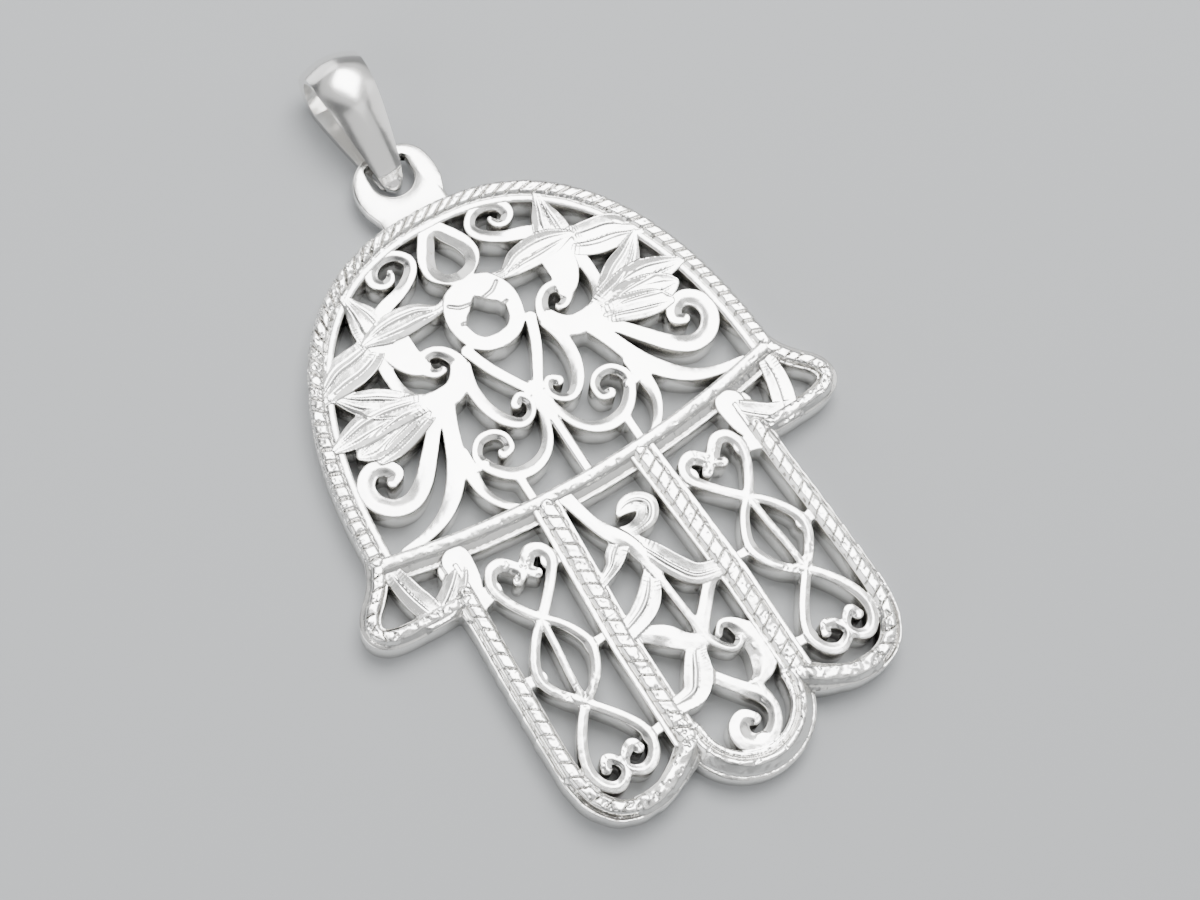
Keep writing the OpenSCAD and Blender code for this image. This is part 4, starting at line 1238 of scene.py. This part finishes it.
def build_room(settings):
    """Even light from all round, brighter near the horizon than overhead."""
    world = bpy.data.worlds.new("studio")
    world.use_nodes = True
    tree = world.node_tree
    tree.nodes.clear()
    place = add(tree, "ShaderNodeTexCoord")
    split = add(tree, "ShaderNodeSeparateXYZ", {"Vector": place.outputs["Generated"]})
    strength = add(tree, "ShaderNodeMapRange", {
        "Value": split.outputs["Z"], "From Min": HORIZON_TOP, "From Max": SKY_START,
        "To Min": settings.horizon, "To Max": settings.sky})
    light = add(tree, "ShaderNodeBackground", {"Color": ROOM_LIGHT, "Strength": strength.outputs["Result"]})
    add(tree, "ShaderNodeOutputWorld", {"Surface": light.outputs["Background"]})
    bpy.context.scene.world = world


def build_stage(settings):
    """A pale paper floor, softboxes, the room's light and the camera."""
    clear_selection()
    bpy.ops.mesh.primitive_plane_add(size=FLOOR_SIDE * MM, location=(0, 0, 0))
    floor = bpy.context.active_object
    floor.name = "floor"
    floor.data.materials.append(paper(settings))
    for name, place, aim, side, power, share in SOFTBOXES:
        softbox(name, place, aim, side, getattr(settings, power) * share)
    build_room(settings)
    bpy.ops.object.camera_add(location=[v * MM for v in CAMERA_PLACE])
    camera = bpy.context.active_object
    camera.name = "photo view"
    camera.rotation_euler = Euler([math.radians(v) for v in CAMERA_TURN])
    camera.data.lens = CAMERA_LENS
    camera.data.sensor_width = CAMERA_SENSOR
    camera.data.clip_start = MM
    bpy.context.scene.camera = camera


# Add-on
class PendantSettings(bpy.types.PropertyGroup):
    """Sizes, colours and lights of the pendant and its stage"""
    scroll_z: bpy.props.FloatProperty(
        name="Scroll tops", description="Height of the scrolls' tops over the flat back",
        default=2.05 * MM, unit="LENGTH")
    eye_round: bpy.props.FloatProperty(
        name="Eye rounding", description="Radius of the eye's edges",
        default=0.16 * MM, unit="LENGTH")
    bail_dome: bpy.props.FloatProperty(
        name="Bail dome", description="Fall of the bail's edges below its middle, at its top",
        default=0.42 * MM, unit="LENGTH")
    bail_bow: bpy.props.FloatProperty(
        name="Bail bow", description="Bow of the bail's front leaf",
        default=0.3 * MM, unit="LENGTH")
    solder: bpy.props.FloatProperty(
        name="Solder", description="Unevenness of the bail's soldered tip, as a share of its depth",
        default=0.07, subtype="FACTOR")
    cast_colour: bpy.props.FloatVectorProperty(
        name="Casting", description="Colour of the casting's polished tops",
        default=linear("#F4F3F0"), size=4, subtype="COLOR", min=0, max=1)
    # Painted shade: the colour that ambient occlusion darkens the casting's hollows towards
    cast_painted_shade: bpy.props.FloatVectorProperty(
        name="Casting shade", description="Colour of the casting's hollows",
        default=linear("#A3A19E"), size=4, subtype="COLOR", min=0, max=1)
    strip_colour: bpy.props.FloatVectorProperty(
        name="Bail", description="Colour of the bail's polished strip",
        default=linear("#F2F1EF"), size=4, subtype="COLOR", min=0, max=1)
    # Painted shade: the colour that ambient occlusion darkens the bail's hollows towards
    strip_painted_shade: bpy.props.FloatVectorProperty(
        name="Bail shade", description="Colour of the bail's hollows",
        default=linear("#9A9896"), size=4, subtype="COLOR", min=0, max=1)
    floor_colour: bpy.props.FloatVectorProperty(
        name="Floor", description="Colour of the background paper",
        default=linear("#A6A8AA"), size=4, subtype="COLOR", min=0, max=1)
    key_power: bpy.props.FloatProperty(
        name="Key power", description="Power of the overhead softbox",
        default=0.85, unit="POWER")
    wide_power: bpy.props.FloatProperty(
        name="Wide power", description="Power of the wide softbox",
        default=0.5, unit="POWER")
    front_power: bpy.props.FloatProperty(
        name="Front power", description="Power of the front softbox",
        default=0.15, unit="POWER")
    side_power: bpy.props.FloatProperty(
        name="Side power", description="Power of the left softbox, which the right and back ones follow",
        default=0.3, unit="POWER")
    sky: bpy.props.FloatProperty(
        name="Sky", description="Strength of the even light from above",
        default=0.2)
    horizon: bpy.props.FloatProperty(
        name="Horizon", description="Strength of the even light from low down",
        default=0.6)


class PENDANT_OT_palm(bpy.types.Operator):
    """Builds the palm's scrolls and leaves"""
    bl_idname = "pendant.palm"
    bl_label = "Palm openwork"

    def execute(self, context):
        build_palm(context.scene.pendant)
        return {"FINISHED"}


class PENDANT_OT_fingers(bpy.types.Operator):
    """Builds the scrolls and leaves in the fingers and thumbs"""
    bl_idname = "pendant.fingers"
    bl_label = "Finger openwork"

    def execute(self, context):
        build_fingers(context.scene.pendant)
        return {"FINISHED"}


class PENDANT_OT_middle(bpy.types.Operator):
    """Builds the middle finger and its roped dividers"""
    bl_idname = "pendant.middle"
    bl_label = "Middle finger"

    def execute(self, context):
        build_middle(context.scene.pendant)
        return {"FINISHED"}


class PENDANT_OT_border(bpy.types.Operator):
    """Builds the rope border and the band"""
    bl_idname = "pendant.border"
    bl_label = "Rope border and band"

    def execute(self, context):
        build_border(context.scene.pendant)
        return {"FINISHED"}


class PENDANT_OT_eye(bpy.types.Operator):
    """Builds the eye that the bail hangs in"""
    bl_idname = "pendant.eye"
    bl_label = "Eye"

    def execute(self, context):
        build_eye(context.scene.pendant)
        return {"FINISHED"}


class PENDANT_OT_bail(bpy.types.Operator):
    """Builds the bail"""
    bl_idname = "pendant.bail"
    bl_label = "Bail"

    def execute(self, context):
        build_bail(context.scene.pendant)
        return {"FINISHED"}


class PENDANT_OT_stage(bpy.types.Operator):
    """Adds the floor, lights and camera"""
    bl_idname = "pendant.stage"
    bl_label = "Stage"

    def execute(self, context):
        build_stage(context.scene.pendant)
        return {"FINISHED"}


OPERATORS = (
    PENDANT_OT_palm,
    PENDANT_OT_fingers,
    PENDANT_OT_middle,
    PENDANT_OT_border,
    PENDANT_OT_eye,
    PENDANT_OT_bail,
    PENDANT_OT_stage,
)


class PENDANT_PT_panel(bpy.types.Panel):
    """Lists the settings and the steps"""
    bl_label = "Pendant"
    bl_idname = "PENDANT_PT_panel"
    bl_space_type = "VIEW_3D"
    bl_region_type = "UI"
    bl_category = "Pendant"

    def draw(self, context):
        for name in PendantSettings.__annotations__:
            self.layout.prop(context.scene.pendant, name)
        for operator in OPERATORS:
            self.layout.operator(operator.bl_idname)


def register():
    """Registers the classes and puts the settings on the scene."""
    bpy.utils.register_class(PendantSettings)
    bpy.types.Scene.pendant = bpy.props.PointerProperty(type=PendantSettings)
    for cls in OPERATORS + (PENDANT_PT_panel,):
        bpy.utils.register_class(cls)


def unregister():
    """Takes away what register added."""
    for cls in reversed(OPERATORS + (PENDANT_PT_panel,)):
        bpy.utils.unregister_class(cls)
    del bpy.types.Scene.pendant
    bpy.utils.unregister_class(PendantSettings)


def main():
    """Builds the pieces and the stage."""
    register()
    bpy.ops.pendant.palm()
    bpy.ops.pendant.fingers()
    bpy.ops.pendant.middle()
    bpy.ops.pendant.border()
    bpy.ops.pendant.eye()
    bpy.ops.pendant.bail()
    bpy.ops.pendant.stage()


if __name__ == "__main__":
    main()
